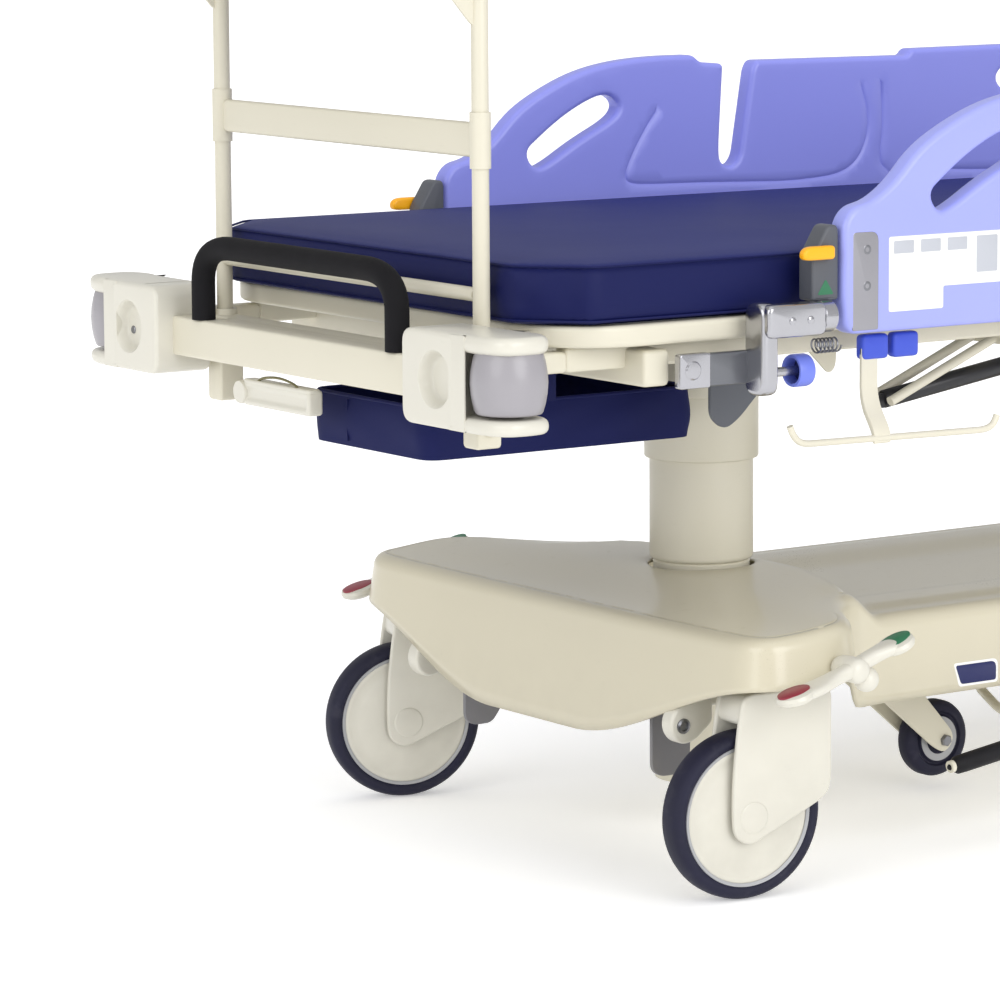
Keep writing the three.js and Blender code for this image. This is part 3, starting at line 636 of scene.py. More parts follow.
def base_cover():
    """The wall rises from the hem to the edge level, flared outwards near the ends by up to 24 mm;
    a quarter circle of radius 17 turns it into the crowned top, which has a bore for each column."""
    loop = resampled(cover_outline(), 9.0)
    radius = 17.0
    turn = np.linspace(0, math.pi / 2, 7)
    rows = []
    hem, level = cover_hem(loop), cover_edge_level(inset(loop, radius))
    for share in np.linspace(0, 1, 9):
        z = hem + (level - radius - hem) * share
        flare = 24 * np.clip((322 - z) / 162, 0, 1) * smooth(np.abs(loop[:, 0]), 380, 480)
        rows.append(np.column_stack([loop - (inset(loop, 1.0) - loop) * flare[:, None], z]))
    wall = rows[-1]
    base = wall[:, :2]
    for a in turn[1:]:
        ring = inset(base, radius * (1 - math.cos(a)))
        rows.append(np.column_stack([ring, level - radius * (1 - math.sin(a))]))
    top_ring = rows[-1][:, :2]
    low, high = span("column_head_cylinder")
    column_x = low[0] / 2 + high[0] / 2
    bores = [circle(COLUMN_BORE, 64, (s * column_x, 0)) for s in (-1, 1)]
    lips = [circle(COLUMN_BORE + d, 64, (s * column_x, 0)) for s in (-1, 1) for d in (3, 7)]
    dots = lattice(np.arange(-640, 641, 11.0), np.arange(-400, 401, 11.0))
    dots = dots[within(dots, [inset(top_ring, 20.0)])]
    dots = np.vstack([dots, inset(top_ring, 6.0), inset(top_ring, 13.0)])
    for s in (-1, 1):
        dots = dots[np.linalg.norm(dots - (s * column_x, 0), axis=1) > 78]
    flat, triangles = filled([wound(top_ring), *[wound(b, False) for b in bores]], np.vstack([dots, *lips]))
    height = cover_edge_level(flat) + cover_top(flat) * smooth(distance_to(flat, top_ring), 0, 34)
    for s in (-1, 1):
        away = np.linalg.norm(flat - (s * column_x, 0), axis=1)
        height = height - 2.0 * (1 - smooth(away, 66, 74))
    points = np.vstack([*rows, np.column_stack([flat, height])])
    faces = grid_faces(len(rows), len(loop), wrap_columns=True)
    faces += (triangles + len(rows) * len(loop)).tolist()
    cover = piece("base_shell", (points, faces), BEIGE, "base", "base_cover", sharp=50)
    if cover.data.polygons[len(cover.data.polygons) - 1].normal.z < 0:
        cover.data.flip_normals()
    wall_mod = cover.modifiers.new("wall", "SOLIDIFY")
    wall_mod.thickness, wall_mod.offset = 5 * MM, -1
    wall_mod.use_rim = True


def distance_to(points, loop):
    """Least distance from each point to the loop's corners."""
    return np.sqrt(((points[:, None] - loop[None]) ** 2).sum(2)).min(1)


def chassis():
    """Steel beams under the cover, and the plates that hang from them."""
    floor_z = span("chassis_frame")[0][2] + 7
    beams = []
    for s in (-1, 1):
        beams.append(block((s * 562, -398, 256.3), (s * 618, 398, 292), 4))
        beams.append(block((-562, s * 90, 248), (562, s * 130, 274), 4))
        beams.append(block((s * 60 - 20, -90, 250), (s * 60 + 20, 90, 272), 4))
    piece("chassis_beams", joined(*beams), CREAM, "base", "chassis_frame")
    plates = []
    for s in (-1, 1):
        for t in (-1, 1):
            outline = eased([(s * 596, 257), (s * 652, 257), (s * 652, 128), (s * 640, floor_z),
                             (s * 612, floor_z), (s * 596, 140)], 9)
            plates.append(upright(outline, t * 197, t * 203, 1.0))
        plates.append(block((s * 600, -197, 214), (s * 648, 197, 220), 1.5))
    for t in (-1, 1):
        plates.append(block((-225, t * 34, 165), (-185, t * 40, 256), 1.5))
        plates.append(block((-14, t * 60, 165), (14, t * 68, 256), 1.5))
    piece("chassis_plates", joined(*plates), GREY_PAINT, "base")


def columns():
    """Each stage is a profile of radius against height turned about the column's axis: the outer
    tube, the middle stage with its collar, and the ram with its shroud and two pins."""
    for end in ENDS:
        low, high = span(f"column_{end}_cylinder")
        x = (low[0] + high[0]) / 2
        outer = 64.5
        cylinder = [(0, 62), (58, 62), (58, 297), (98, 297), (99.5, 298.5), (99.5, 301.5), (98, 303),
                    (61, 303), (60, 304), (60, 333), (60.5, 335), (58.5, 337), (60, 338.5), (62.3, 339.2),
                    (63.8, 341), (outer, 344), (outer, 478), (outer - 0.6, 482), (62.5, 484.4), (60, 485),
                    (55, 485), (54.5, 484), (54.5, 470), (0, 470)]
        piece(f"column_{end}_outer", turned(cylinder, (x, 0, 0), steps=96), CREAM, "base",
              f"column_{end}_cylinder", sharp=30)
        stage = [(47, 130), (53, 130), (53, 553), (65.7, 553), (65.7, 467), (66.4, 465.4), (68, 465),
                 (70, 465.6), (71, 467.5), (71, 554), (70.2, 558), (67.5, 560), (48, 560), (46.5, 558),
                 (46.5, 131)]
        piece(f"column_{end}_middle", turned(stage, (x, 0, 0), steps=96), CREAM, "lift_stage",
              f"column_{end}_stage", sharp=30)
        ram = [(0, 242), (44, 242), (44, 651), (72.2, 651), (72.2, 547), (72.8, 545.4), (73.8, 545),
               (74.6, 545.6), (75, 547.5), (75, 641), (74, 646), (70, 649.5), (66, 651), (66, 655),
               (63, 658), (0, 658)]
        parts = [turned(ram, (x, 0, 0), steps=96)]
        pin = [(0, 73.2), (10, 73.2), (10, 77), (9, 77.6), (0, 77.6)]
        parts += [turned(pin, (x, 0, 630), (0, t, 0), 28) for t in (-1, 1)]
        piece(f"column_{end}_shroud", joined(*parts), CREAM, f"ram_{end}", f"column_{end}_ram",
              sharp=30)


def castors():
    """Tyre, wheel centre, side rings and fork, drawn about the swivel and brought to their corners."""
    tread = mirrored([(82, -15), (86, -18.6), (90, -19.8), (94.5, -18.2), (97.6, -14.5), (99.4, -9),
                      (100, 0)])
    web = mirrored([(0, -17), (14, -17), (15, -18.4), (17, -18.4), (18, -17), (30, -17), (62, -15.4),
                    (70, -14), (74, -15.2), (78.5, -15.6), (80.6, -14.6), (81.2, -13)])
    rim = [(79.6, -16), (81.6, -17.3), (83.4, -17.8), (84, -16.6), (82.2, -15.4)]
    cheek = eased([(62, 240), (62, 126), (50, 112), (-27, 77), (-50, 66), (-70, 78), (-73, 100),
                   (-72, 150), (-66, 205), (-60, 240), (-50, 246), (50, 246)],
                  [10, 20, 22, 24, 30, 24, 24, 30, 24, 12, 8, 8])
    crown = eased([(-59, 236), (-63, 208), (-40, 206), (40, 206), (61, 200), (61.4, 240), (50, 245),
                   (-50, 245)], [10, 12, 12, 20, 10, 10, 8, 8])
    cap = [(0, 22), (19, 22), (19, 29.8), (18.2, 30.6), (16.5, 31), (0, 31)]
    for end in ENDS:
        for side in SIDES:
            tag = f"{end}_{side}"
            hub, along, wheel = CASTOR_HUB, (0, 1, 0), f"wheel_{tag}"
            piece(f"castor_{tag}_tyre", swivelled(turned(tread, hub, along, 96), end, side), TYRE, wheel,
                  f"castor_tyre_{tag}", sharp=45)
            piece(f"castor_{tag}_disc", swivelled(turned(web, hub, along, 96), end, side), IVORY, wheel,
                  f"castor_wheel_{tag}", sharp=34)
            rings = joined(turned(rim, hub, along, 96),
                           turned([(r, -y) for r, y in rim], hub, along, 96))
            piece(f"castor_{tag}_rim", swivelled(rings, end, side), SHEET, wheel)
            parts = [upright(cheek, 22.4, 29.8, 3.2), upright(cheek, -29.8, -22.4, 3.2),
                     upright(crown, -28.6, 28.6, 2.0),
                     turned([(0, 238), (27, 238), (27, 252), (25, 255.5), (0, 255.5)], (0, 0, 0))]
            parts += [turned(cap, hub, (0, t, 0), 40) for t in (-1, 1)]
            piece(f"castor_{tag}_fork", swivelled(joined(*parts), end, side), IVORY, f"castor_{tag}",
                  f"castor_fork_{tag}")


def pedals():
    """Rocking brake pedals: over a ball boss, an arm from a long low red pad to a short high green
    one. The arm's half width is 11 mm, growing by 8 with the distance from the boss."""
    pad = [(0, -6.5), (17, -6.5), (21.5, -4), (23, 0), (21.5, 4), (17, 6), (0, 6)]
    boss = [(0, -34), (8, -34), (12, -31), (14.6, -24), (15, -12), (15, 6), (13, 11), (8, 14), (0, 15)]
    ball = [(15 * math.sin(a), -15 * math.cos(a)) for a in np.linspace(0, math.pi, 13)]
    for end, s in ENDS.items():
        low, high = span(f"brake_pedals_{end}")
        x, z = s * 552.0, 276.0
        arms, inlays, bushes = [], {"red": [], "green": []}, []
        for t in (-1, 1):
            y = t * 464.0
            out = np.array([88, 66, 32, 0, -24, -44, -60.0])
            lift = np.array([-21, -17, -7, 4, 13, 20, 24.0])
            path = eased(np.column_stack([x + s * out, np.full(7, y), z + lift]), 40, 6, closed=False)
            reach = np.abs(path[:, 0] - x)
            size = np.stack([11 + 8 * smooth(reach, 22, 60), 8.5 - 2 * smooth(reach, 20, 60)], 1)
            arms.append(swept(path, oblong(2, 2, 0.9)[None] * size[:, None], up=(0, 0, 1)))
            for far, up, angle, colour in ((88, -21, 15.5, "red"), (-60, 24, 22.6, "green")):
                place = np.array([x + s * far, y, z + up])
                tip = turned(pad, place, steps=40)
                disc = turned([(0, 4.6), (0.98, 4.6), (0.98, 6.6), (0.95, 6.9), (0, 7)], (0, 0, 0),
                              steps=40)
                inlay = (disc[0] * [21.5, 15.5, 1] + place, disc[1])
                arms.append(leaned(tip, angle * s, place))
                inlays[colour].append(leaned(inlay, angle * s, place))
            arms.append(turned(boss, (x, y, z), (0, t, 0), 40))
            arms.append(turned(ball, (x - s * 16, y, z - 12), (0, 1, 0), 32))
            ring = [(9, -2), (13.5, -2), (14.5, 0), (13.5, 1.4), (9, 0.4)]
            for shape in (ring, drum(12, -3, -1.6)):
                bushes.append(turned(shape, (x, t * 422.5, z), (0, t, 0), 40))
        shaft = turned(drum(7, low[1] + 12, high[1] - 12), (x, 0, z), (0, 1, 0), 24)
        body = f"brake_{end}"
        piece(f"{body}_rockers", joined(*arms), IVORY, body, f"brake_pedals_{end}")
        piece(f"{body}_shaft", shaft, STEEL, body)
        piece(f"{body}_red_inlays", joined(*inlays["red"]), RED, body)
        piece(f"{body}_green_inlays", joined(*inlays["green"]), GREEN, body)
        piece(f"{body}_bushes", joined(*bushes), BLACK_RUBBER, "base")


def linkages():
    """What hangs under the cover: crank lugs, links, the fifth wheel and the foot bars."""
    parts, bolts = [], []
    for s in ENDS.values():
        for t in SIDES.values():
            x, y = s * 628, t * 262
            lug = eased([(x - s * 6, 196), (x - s * 6, 228), (x + s * 46, 222), (x + s * 58, 196),
                         (x + s * 44, 174), (x + s * 22, 174)], [6, 12, 14, 20, 18, 12])
            parts.append(upright(lug, y, y + t * 22, 4))
            parts.append(block((x - s * 50, y + t * 2, 214), (x + s * 20, y + t * 19, 232), 5))
            bolts.append(turned([(0, 18), (9, 18), (9, 24), (6, 25), (5, 22.5), (0, 22.5)],
                                (x + s * 38, y, 196), (0, t, 0), 24))
    piece("brake_cranks", joined(*parts), IVORY, "base")
    piece("brake_crank_bolts", joined(*bolts), SCREW, "base")

    pivot, axle = np.array([-205.0, 190.0]), np.array(FIFTH_AXLE)
    outline = eased([pivot + (-16, -10), axle + (-18, -8), axle + (2, -18), axle + (18, 4),
                     pivot + (46, 14), pivot + (-12, 16)], [14, 12, 14, 16, 14, 12])
    plates = [upright(outline, t * 22, t * 27, 1.6) for t in (-1, 1)]
    plates.append(block((-215, -25, 180), (-191, 25, 200), 5))
    plates.append(turned(drum(8, -33, 33), (pivot[0], 0, pivot[1]), (0, 1, 0), 28))
    piece("fifth_wheel_plates", joined(*plates), CREAM, "fifth_arm", "fifth_wheel_arm")
    studs = [turned([(0, 26), (8, 26), (8, 31), (6.5, 32.5), (0, 32.5)], (axle[0], 0, axle[1]), (0, t, 0), 6)
             for t in (-1, 1)]
    piece("fifth_wheel_studs", joined(*studs), SCREW, "fifth_arm")
    wheel = mirrored([(6, -14), (30, -14), (32, -11), (34, -11), (36, -14), (44, -13.2), (48.6, -10),
                      (50, -6)])
    centre = (axle[0], 0, axle[1])
    piece("fifth_wheel_tyre", turned(wheel, centre, (0, 1, 0), 72), TYRE, "fifth_wheel",
          "fifth_wheel")
    ring = [turned([(20, t * 13.5), (29, t * 13.5), (29, t * 14.4), (20, t * 14.4)], centre, (0, 1, 0), 56)
            for t in (-1, 1)]
    piece("fifth_wheel_rings", joined(*ring), SHEET, "fifth_wheel")

    steel, rubber = [tube([(0, -330, 150), (0, 330, 150)], 8, (1, 0, 0))], []
    for t in SIDES.values():
        y = t * 330
        spine = eased([(-300, y, 109.5), (-40, y, 145), (0, y, 150.6), (40, y, 145), (300, y, 109.5)],
                      40, 7, False)
        steel.append(tube(spine, 7.5))
        for w in (-1, 1):
            a, b = np.array([w * 302.0, y, 109]), np.array([w * 140.0, y, 131.3])
            along = np.linspace(0, 1, 14)[:, None]
            path = a + (b - a) * along
            swell = 11.5 * np.sqrt(np.clip(1 - (1 - np.minimum(along[:, 0] * 9, 1)) ** 2, 0.05, 1))
            rubber.append(swept(path, circle(1.0, 24)[None] * swell[:, None, None]))
        brace = eased([(2, t * 90, 150), (-60, t * 90, 150), (-111, t * 200, 138), (-130, y, 132.5)],
                      30, 7, False)
        steel.append(tube(brace, 6))
    piece("pump_bar_tubes", joined(*steel), CREAM, "pump", "pump_bars")
    piece("pump_bar_sleeves", joined(*rubber), BLACK_RUBBER, "pump")

    arms, pads = [tube([(150, -292, 225), (150, 292, 225)], 8, (1, 0, 0))], []
    for t in (-1, 1):
        y = t * 300
        arms.append(turned(drum(14, -12, 12), (150, y, 225), (0, 1, 0), 32))
        arms.append(tube(eased([(150, y, 228), (185, y, 246), (215, y, 254)], 20, 6, False), 7, (0, 1, 0)))
        pads.append(block((201, y - 22, 250), (307, y + 22, 266), 6, 10))
        for k in range(7):
            pads.append(block((216 + 12 * k, y - 18, 264), (220 + 12 * k, y + 18, 267.5), 1))
    piece("release_arms", joined(*arms), CREAM, "release", "release_pedals")
    piece("release_pads", joined(*pads), BLACK_RUBBER, "release")


# ---------------------------------------------------------------- deck
def deck():
    """Perimeter tube, long and cross bearers, hinge cheeks and gussets under the mattress."""
    low, high = span("deck_frame")
    x, y, tube_side, corner = high[0], high[1], 25.0, 110.0
    ring = [(-x, -y), (x, -y), (x, y), (-x, y)]
    middle = np.array([(a - np.sign(a) * tube_side / 2, b - np.sign(b) * tube_side / 2) for a, b in ring])
    loop = eased(middle, corner - tube_side / 2, 16)
    z = (low[2] + high[2]) / 2
    path = np.column_stack([loop, np.full(len(loop), z)])
    section = oblong(tube_side, high[2] - low[2], 6)
    piece("deck_ring", swept(path, section, loop=True), CREAM, "deck", "deck_frame")

    parts = []
    for s in (-1, 1):
        parts.append(block((-870, s * BEARER_IN, BEARER_Z), (870, s * BEARER_OUT, 659.5), 4))
        parts.append(block((s * 754, -380, 612), (s * 789, 380, 654), 5))
        parts.append(block((s * 385, -345, 677), (s * 475, 345, 680), 1.2, 8))
        for t in (-1, 1):
            cheek = eased([(s * 392, 677), (s * 468, 677), (s * 462, 622), (s * 446, 605), (s * 414, 605),
                           (s * 398, 622)], [4, 4, 18, 20, 20, 18])
            parts.append(upright(cheek, t * 78.2, t * 84, 1.4))
            parts.append(block((s * 392, t * BEARER_IN, 659), (s * 468, t * BEARER_OUT, 678), 2))
            web = eased([(s * 505, 676), (s * 400, 676), (s * 404, 596), (s * 414, 588), (s * 424, 598)],
                        [6, 4, 10, 8, 30])
            parts.append(upright(web, t * 232, t * 237, 1.2))
    for y0, y1 in ((-330, -267), (-233, 330)):
        parts.append(block((60, y0, 631), (95, y1, 655), 4))
    parts.append(block((-185, -330, 612), (-160, 330, 645), 4))
    for y_strut in (-270, -230):
        parts.append(tube([(-172, y_strut, 625), (-347, y_strut, 553)], 6, (0, 1, 0)))
    piece("deck_bearers", joined(*parts), CREAM, "deck", "under_frame")
    gussets = []
    for t in (-1, 1):
        outline = eased([(-642, 655), (-642, 560), (-622, 543), (-600, 556), (-560, 595), (-545, 655)],
                        [4, 10, 14, 12, 20, 4])
        gussets.append(upright(outline, t * 300, t * 306, 1.4))
    piece("column_gussets", joined(*gussets), LATCH_GREY, "deck")
    for node in ("deck_pan", "backrest_pan"):
        frame["nodes"][node].data.materials.clear()
        frame["nodes"][node].data.materials.append(SHEET)


def mattress_plan(grow=0.0):
    """Plan of the mattress, a rectangle with cut corners, and its lowest and highest level."""
    low, high = span("mattress_seat")[0], span("mattress_back")[1]
    x, y, cut = high[0], high[1], 68.0
    corners = [(-x + cut, -y), (x - cut, -y), (x, -y + cut), (x, y - cut), (x - cut, y), (-x + cut, y),
               (-x, y - cut), (-x, -y + cut)]
    return inset(wound(eased(corners, 12, 5)), -grow), low[2], high[2]


def held_weights(group, weights, levels=10):
    """A weight for each point, in a few levels."""
    level = np.round(weights * levels).astype(int)
    for k in range(1, levels + 1):
        index = np.flatnonzero(level == k)
        if len(index):
            group.add(index.tolist(), k / levels, "REPLACE")


def filled_by_pressure(obj, voxel, cap, held, pressure=4.0, frames=20):
    """The closed form remeshed in even squares, blown up as cloth with `held` parts kept, and no
    point moved further than cap."""
    remesh = obj.modifiers.new("even", "REMESH")
    remesh.mode, remesh.voxel_size = "VOXEL", voxel
    obj.data = evaluated(obj)
    obj.modifiers.clear()
    rest = read_points(obj.data)
    group = obj.vertex_groups.new(name="held")
    held_weights(group, held(rest / MM))
    cloth = obj.modifiers.new("cloth", "CLOTH")
    rules = cloth.settings
    rules.quality, rules.mass = 4, 0.3
    rules.tension_stiffness = rules.compression_stiffness = 12
    rules.shear_stiffness, rules.bending_stiffness = 6, 0.8
    rules.use_pressure, rules.uniform_pressure_force = True, pressure
    rules.effector_weights.gravity = 0
    rules.vertex_group_mass = "held"
    cloth.point_cache.frame_start, cloth.point_cache.frame_end = 1, frames
    for step in range(1, frames + 1):
        bpy.context.scene.frame_set(step)
    moved = read_points(evaluated(obj)) - rest
    obj.modifiers.remove(cloth)
    bpy.context.scene.frame_set(1)
    far = np.linalg.norm(moved, axis=1, keepdims=True)
    limit = cap * MM
    moved *= limit * np.tanh(far / limit) / np.maximum(far, 1e-9)
    write_points(obj.data, rest + moved)


def mattress():
    """A padded block between two piped seams, blown up as cloth and creased at its corners."""
    plan, bottom, top = mattress_plan(-3.0)
    seam_top, seam_bottom = top - 3.0, bottom + 4.0
    pad = piece("mattress", moulded(plan, bottom + 0.6, top - 1.0, 6.0, steps=4), NAVY, None,
                ("mattress_seat", "mattress_back"), sharp=80)
    edge = inset(plan, 4.0)

    def held(p):
        """Points on the piped edges and on the underside stay where they are."""
        away = distance_to(p[:, :2], resampled(edge, 8.0))
        rim = np.maximum(*[1 - smooth(np.abs(p[:, 2] - z), 4, 12) for z in (seam_top, seam_bottom)])
        return np.maximum((1 - smooth(away, 8, 22)) * rim, 1 - smooth(p[:, 2], bottom + 1, bottom + 5))

    filled_by_pressure(pad, 0.009, 4.0, held)
    points = read_points(pad.data) / MM
    points[:, 2] = np.maximum(points[:, 2], bottom + 0.5)
    write_points(pad.data, points * MM)
    creased = read_points(pad.data) / MM
    creased = creased + creases(creased, top)
    write_points(pad.data, creased * MM)
    shade(pad.data, 80)
    if not pad.data.materials:
        pad.data.materials.append(NAVY)
    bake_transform(pad)
    seams = []
    for z in (seam_top, seam_bottom + 1):
        loop = resampled(inset(plan, 0.9 if z > bottom + 20 else 1.4), 14.0)
        path = np.column_stack([loop, np.full(len(loop), z)])
        seams.append(tube(path, 1.5, steps=8, loop=True))
    piping = piece("mattress_piping", joined(*seams), PIPING, None)
    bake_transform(piping)


def creases(p, top):
    """Shallow pulls in the cover: waves across the cut corners and slow hollows on the sides."""
    x, y, z = p.T
    high = span("mattress_back")[1]
    corner = smooth(np.abs(x) + np.abs(y), high[0] + high[1] - 150, high[0] + high[1] - 70)
    side = smooth(z, top - 62, top - 40) * (1 - smooth(z, top - 22, top - 6))
    wave = np.sin((x - y * np.sign(x * y)) / 13.0 + 1.1 * np.sin(z / 14.0)) + 0.5 * np.sin(x / 31.0 + z / 9.0)
    out = np.column_stack([np.sign(x), np.sign(y), np.zeros(len(x))])
    hollow = 1.2 * np.sin(x / 97.0) * np.sin(x / 41.0 + 1.0) * side
    face = np.column_stack([np.zeros(len(x)), np.sign(y), np.zeros(len(x))])
    flank = smooth(np.abs(y), high[1] - 22, high[1] - 8)[:, None]
    return out * (corner * side * wave * 1.1)[:, None] + face * flank * hollow[:, None]


# ---------------------------------------------------------------- ends
def end_bars():
    """Cross bars at each end. The foot one holds the sockets for the foot frame's posts."""
    for end, s in ENDS.items():
        parts = [block((s * 990, -275, 606), (s * 1020, 275, 653), 3, 4),
                 block((s * 960, -235, 640), (s * 991, 235, 650), 2),
                 block((s * 930, -345, 622), (s * 964, 345, 650), 4)]
        for t in (-1, 1):
            parts.append(block((s * 868, t * BEARER_IN, BEARER_Z), (s * 934, t * BEARER_OUT, 655), 4))
            if end == "foot":
                socket = [(10.6, 590), (15, 590), (15, 654), (13.4, 657), (10.6, 657)]
                x, y = s * POST_X, t * POST_Y
                parts.append(turned(socket, (x, y, 0), steps=40))
                parts.append(block((x + 16, y - 16, 545.5), (x - 16, y + 16, 598), 3, 4))
                bolt = [(0, -9), (9, -9), (9, 20.5), (7, 21.5), (0, 21.5)]
                parts.append(turned(bolt, (x, y, 568), (0, t, 0), 6))
                parts.append(block((s * 956, t * 262, 612), (s * 992, t * 297, 648), 4))
        piece(f"{end}_cross_bar", joined(*parts), CREAM, "deck", f"{end}_bar")


def bumpers():
    """Corner housings: a block with a round recess on its end face, and two prongs over the roller."""
    spin = np.arange(44) * 2 * math.pi / 44
    well = (338, 636)
    rings = np.vstack([np.column_stack([well[0] + r * np.cos(spin), well[1] + r * np.sin(spin)])
                       for r in (12, 21, 23.5, 25, 26.5, 28, 29.5, 31, 32.5, 34, 36)])

    def recess(p):
        """A flat round well 15 mm deep, with a rounded lip."""
        return -15 * (1 - smooth(np.linalg.norm(p - well, axis=1), 23.5, 33))

    for end, s in ENDS.items():
        for side, t in SIDES.items():
            tag = f"{end}_{side}"
            low, high = span(f"bumper_housing_{tag}")
            z0, z1 = low[2] + 12, high[2]
            face = eased([(271, z0 + 0.6), (376, z0 + 0.6), (376, z1 - 0.6), (271, z1 - 0.6)], [18, 3, 3, 18])
            main = moulded(face, 966, 1044, 5, relief=recess, dots=rings, axes="yzx")
            bay = np.linspace(math.radians(-151.6), math.radians(-28.4), 15)
            arc = np.column_stack([ROLLER_X + 47.6 * np.cos(bay), ROLLER_Y + 47.6 * np.sin(bay)])
            plan = np.vstack([arc, [(1043.6, 397.3), (1043.9, 366), (968, 366), (965.5, 397.3)]])
            plan = plan[np.linalg.norm(plan - np.roll(plan, 1, 0), axis=1) > 0.05]
            prong = eased([(966.5, 300), (1043.4, 300), (1043.4, 425), (1030, 458), (1000, 463.5),
                           (970, 458), (958, 425), (965, 396)], [8, 8, 26, 26, 24, 26, 20, 10])
            parts = [main, moulded(wound(plan), z0 + 0.8, z1 - 0.8, 2, steps=4),
                     moulded(prong, z0, z0 + 17, 7), moulded(prong, z1 - 20, z1, 8)]
            piece(f"bumper_{tag}_body", flipped(joined(*parts), x=s, y=t), IVORY, "deck",
                  f"bumper_housing_{tag}")
            screw = turned([(0, -15.6), (4.5, -15.6), (5, -14.4), (4, -13.4), (1.2, -13.4), (0, -14.2)],
                           (1044, 350, 630), (1, 0, 0), 24)
            piece(f"bumper_{tag}_screw", flipped(screw, x=s, y=t), SCREW, "deck")
            barrel = mirrored([(0, -35), (34, -35), (36, -34.4), (37.4, -32.5), (40, -24), (42.2, -12),
                               (43, 0)])
            piece(f"bumper_{tag}_barrel", turned(barrel, (s * ROLLER_X, t * ROLLER_Y, 638), steps=80),
                  ROLLER, f"roller_{tag}", f"bumper_roller_{tag}", sharp=50)


def push_handles():
    """Foam grips: a circle carried along an arch with eased corners."""
    bar = 14.7
    for end, s in ENDS.items():
        low, high = span(f"push_handle_{end}")
        x, y, z = s * 1011.0, high[1] - bar, high[2] - bar
        path = eased([(x, -y, low[2]), (x, -y, z), (x, y, z), (x, y, low[2])], 66, 14, False)
        grip = tube(path, 14.2, up=(1, 0, 0), steps=28)
        piece(f"push_handle_{end}_grip", grip, FOAM, "deck", f"push_handle_{end}")


def foot_frame():
    """Two posts and their cross bars, and the shelf on top of them."""
    x, parts = -POST_X, []
    for t in (-1, 1):
        y = t * POST_Y
        post = [(0, 562), (8.8, 562), (9.75, 563.5), (9.75, 1098), (9, 1100), (0, 1100)]
        parts.append(turned(post, (x, y, 0), steps=36))
        web = eased([(-936, 1022), (-950, 1016), (-1018, 1094), (-1018, 1100), (-936, 1100)],
                    [4, 12, 6, 2, 3])
        parts.append(upright(web, y - 2, y + 2, 0.8))
        parts.append(turned([(9.4, 860), (12, 860), (12, 923), (9.4, 923)], (x, y, 0), steps=36))
        parts.append(block((-1018, y - 10, 1092), (-775, y + 10, 1100), 2))
    parts.append(block((-947, -272, 872), (-937, 272, 911), 3.5, 6))
    parts.append(tube([(x, -272, 718), (x, 272, 718)], 8, (0, 0, 1), 28))
    parts.append(block((-952, -272, 1092), (-932, 272, 1100), 2))
    piece("foot_frame_tubes", joined(*parts), CREAM, "foot_frame", "foot_frame")
    low, high = span("equipment_shelf")
    x, y = (low[0] + high[0]) / 2, high[1]
    plan = oblong(high[0] - low[0], 2 * y, 44) + (x, 0)

    def dish(p):
        """A shallow tray: level inside, rising over 22 mm to the rim."""
        return -6 * smooth(distance_to(p, resampled(plan, 6.0)), 12, 26)

    dots = lattice(np.arange(low[0], high[0], 9.0), np.arange(-y, y, 9.0))
    dots = dots[distance_to(dots, resampled(plan, 6.0)) > 9]
    piece("shelf_tray", moulded(plan, low[2], high[2], 5, relief=dish, dots=dots), IVORY, "foot_frame",
          "equipment_shelf")


# ---------------------------------------------------------------- side rails
RAIL_OUTLINE = [  # (along from the foot edge, up from the bottom, reach of the curve), in millimetres
    (13, 0, 8), (0, 12, 10), (0, 128, 10), (14, 147, 16), (42, 152, 16), (76, 173, 40), (110, 210, 60),
    (155, 236, 60), (210, 259, 60), (267, 271, 60), (331, 276, 60), (397, 276, 7), (409, 266, 7),
    (447, 263, 7), (440, 150, 20), (442, 130, 10), (460, 124, 14), (474, 136, 12), (494, 254, 6),
    (501, 266, 6), (761, 265, 5), (769, 274, 5), (1043, 276, 60), (1103, 271, 60), (1163, 259, 60),
    (1223, 236, 60), (1271, 202, 60), (1313, 166, 60), (1352, 141, 14), (1353, 8, 10), (1345, 0, 8)]
RAIL_GRIPS = [
    [(126, 158, 14), (140, 134, 14), (163, 142, 30), (210, 170, 40), (266, 196, 30), (279, 214, 14),
     (258, 230, 20), (226, 222, 40), (178, 197, 40)],
    [(920, 229, 14), (936, 211, 14), (1083, 211, 14), (1099, 229, 14), (1083, 247, 14), (936, 247, 14)]]
RAIL_GROOVES = [
    [(335, 204), (308, 168), (288, 132), (284, 118), (292, 109), (330, 107), (400, 106), (560, 101),
     (640, 106), (674, 122), (692, 154), (694, 190), (682, 226)],
    [(716, 230), (720, 170), (712, 122), (730, 106)],
    [(785, 108), (900, 102), (1060, 102), (1180, 112), (1206, 136)]]


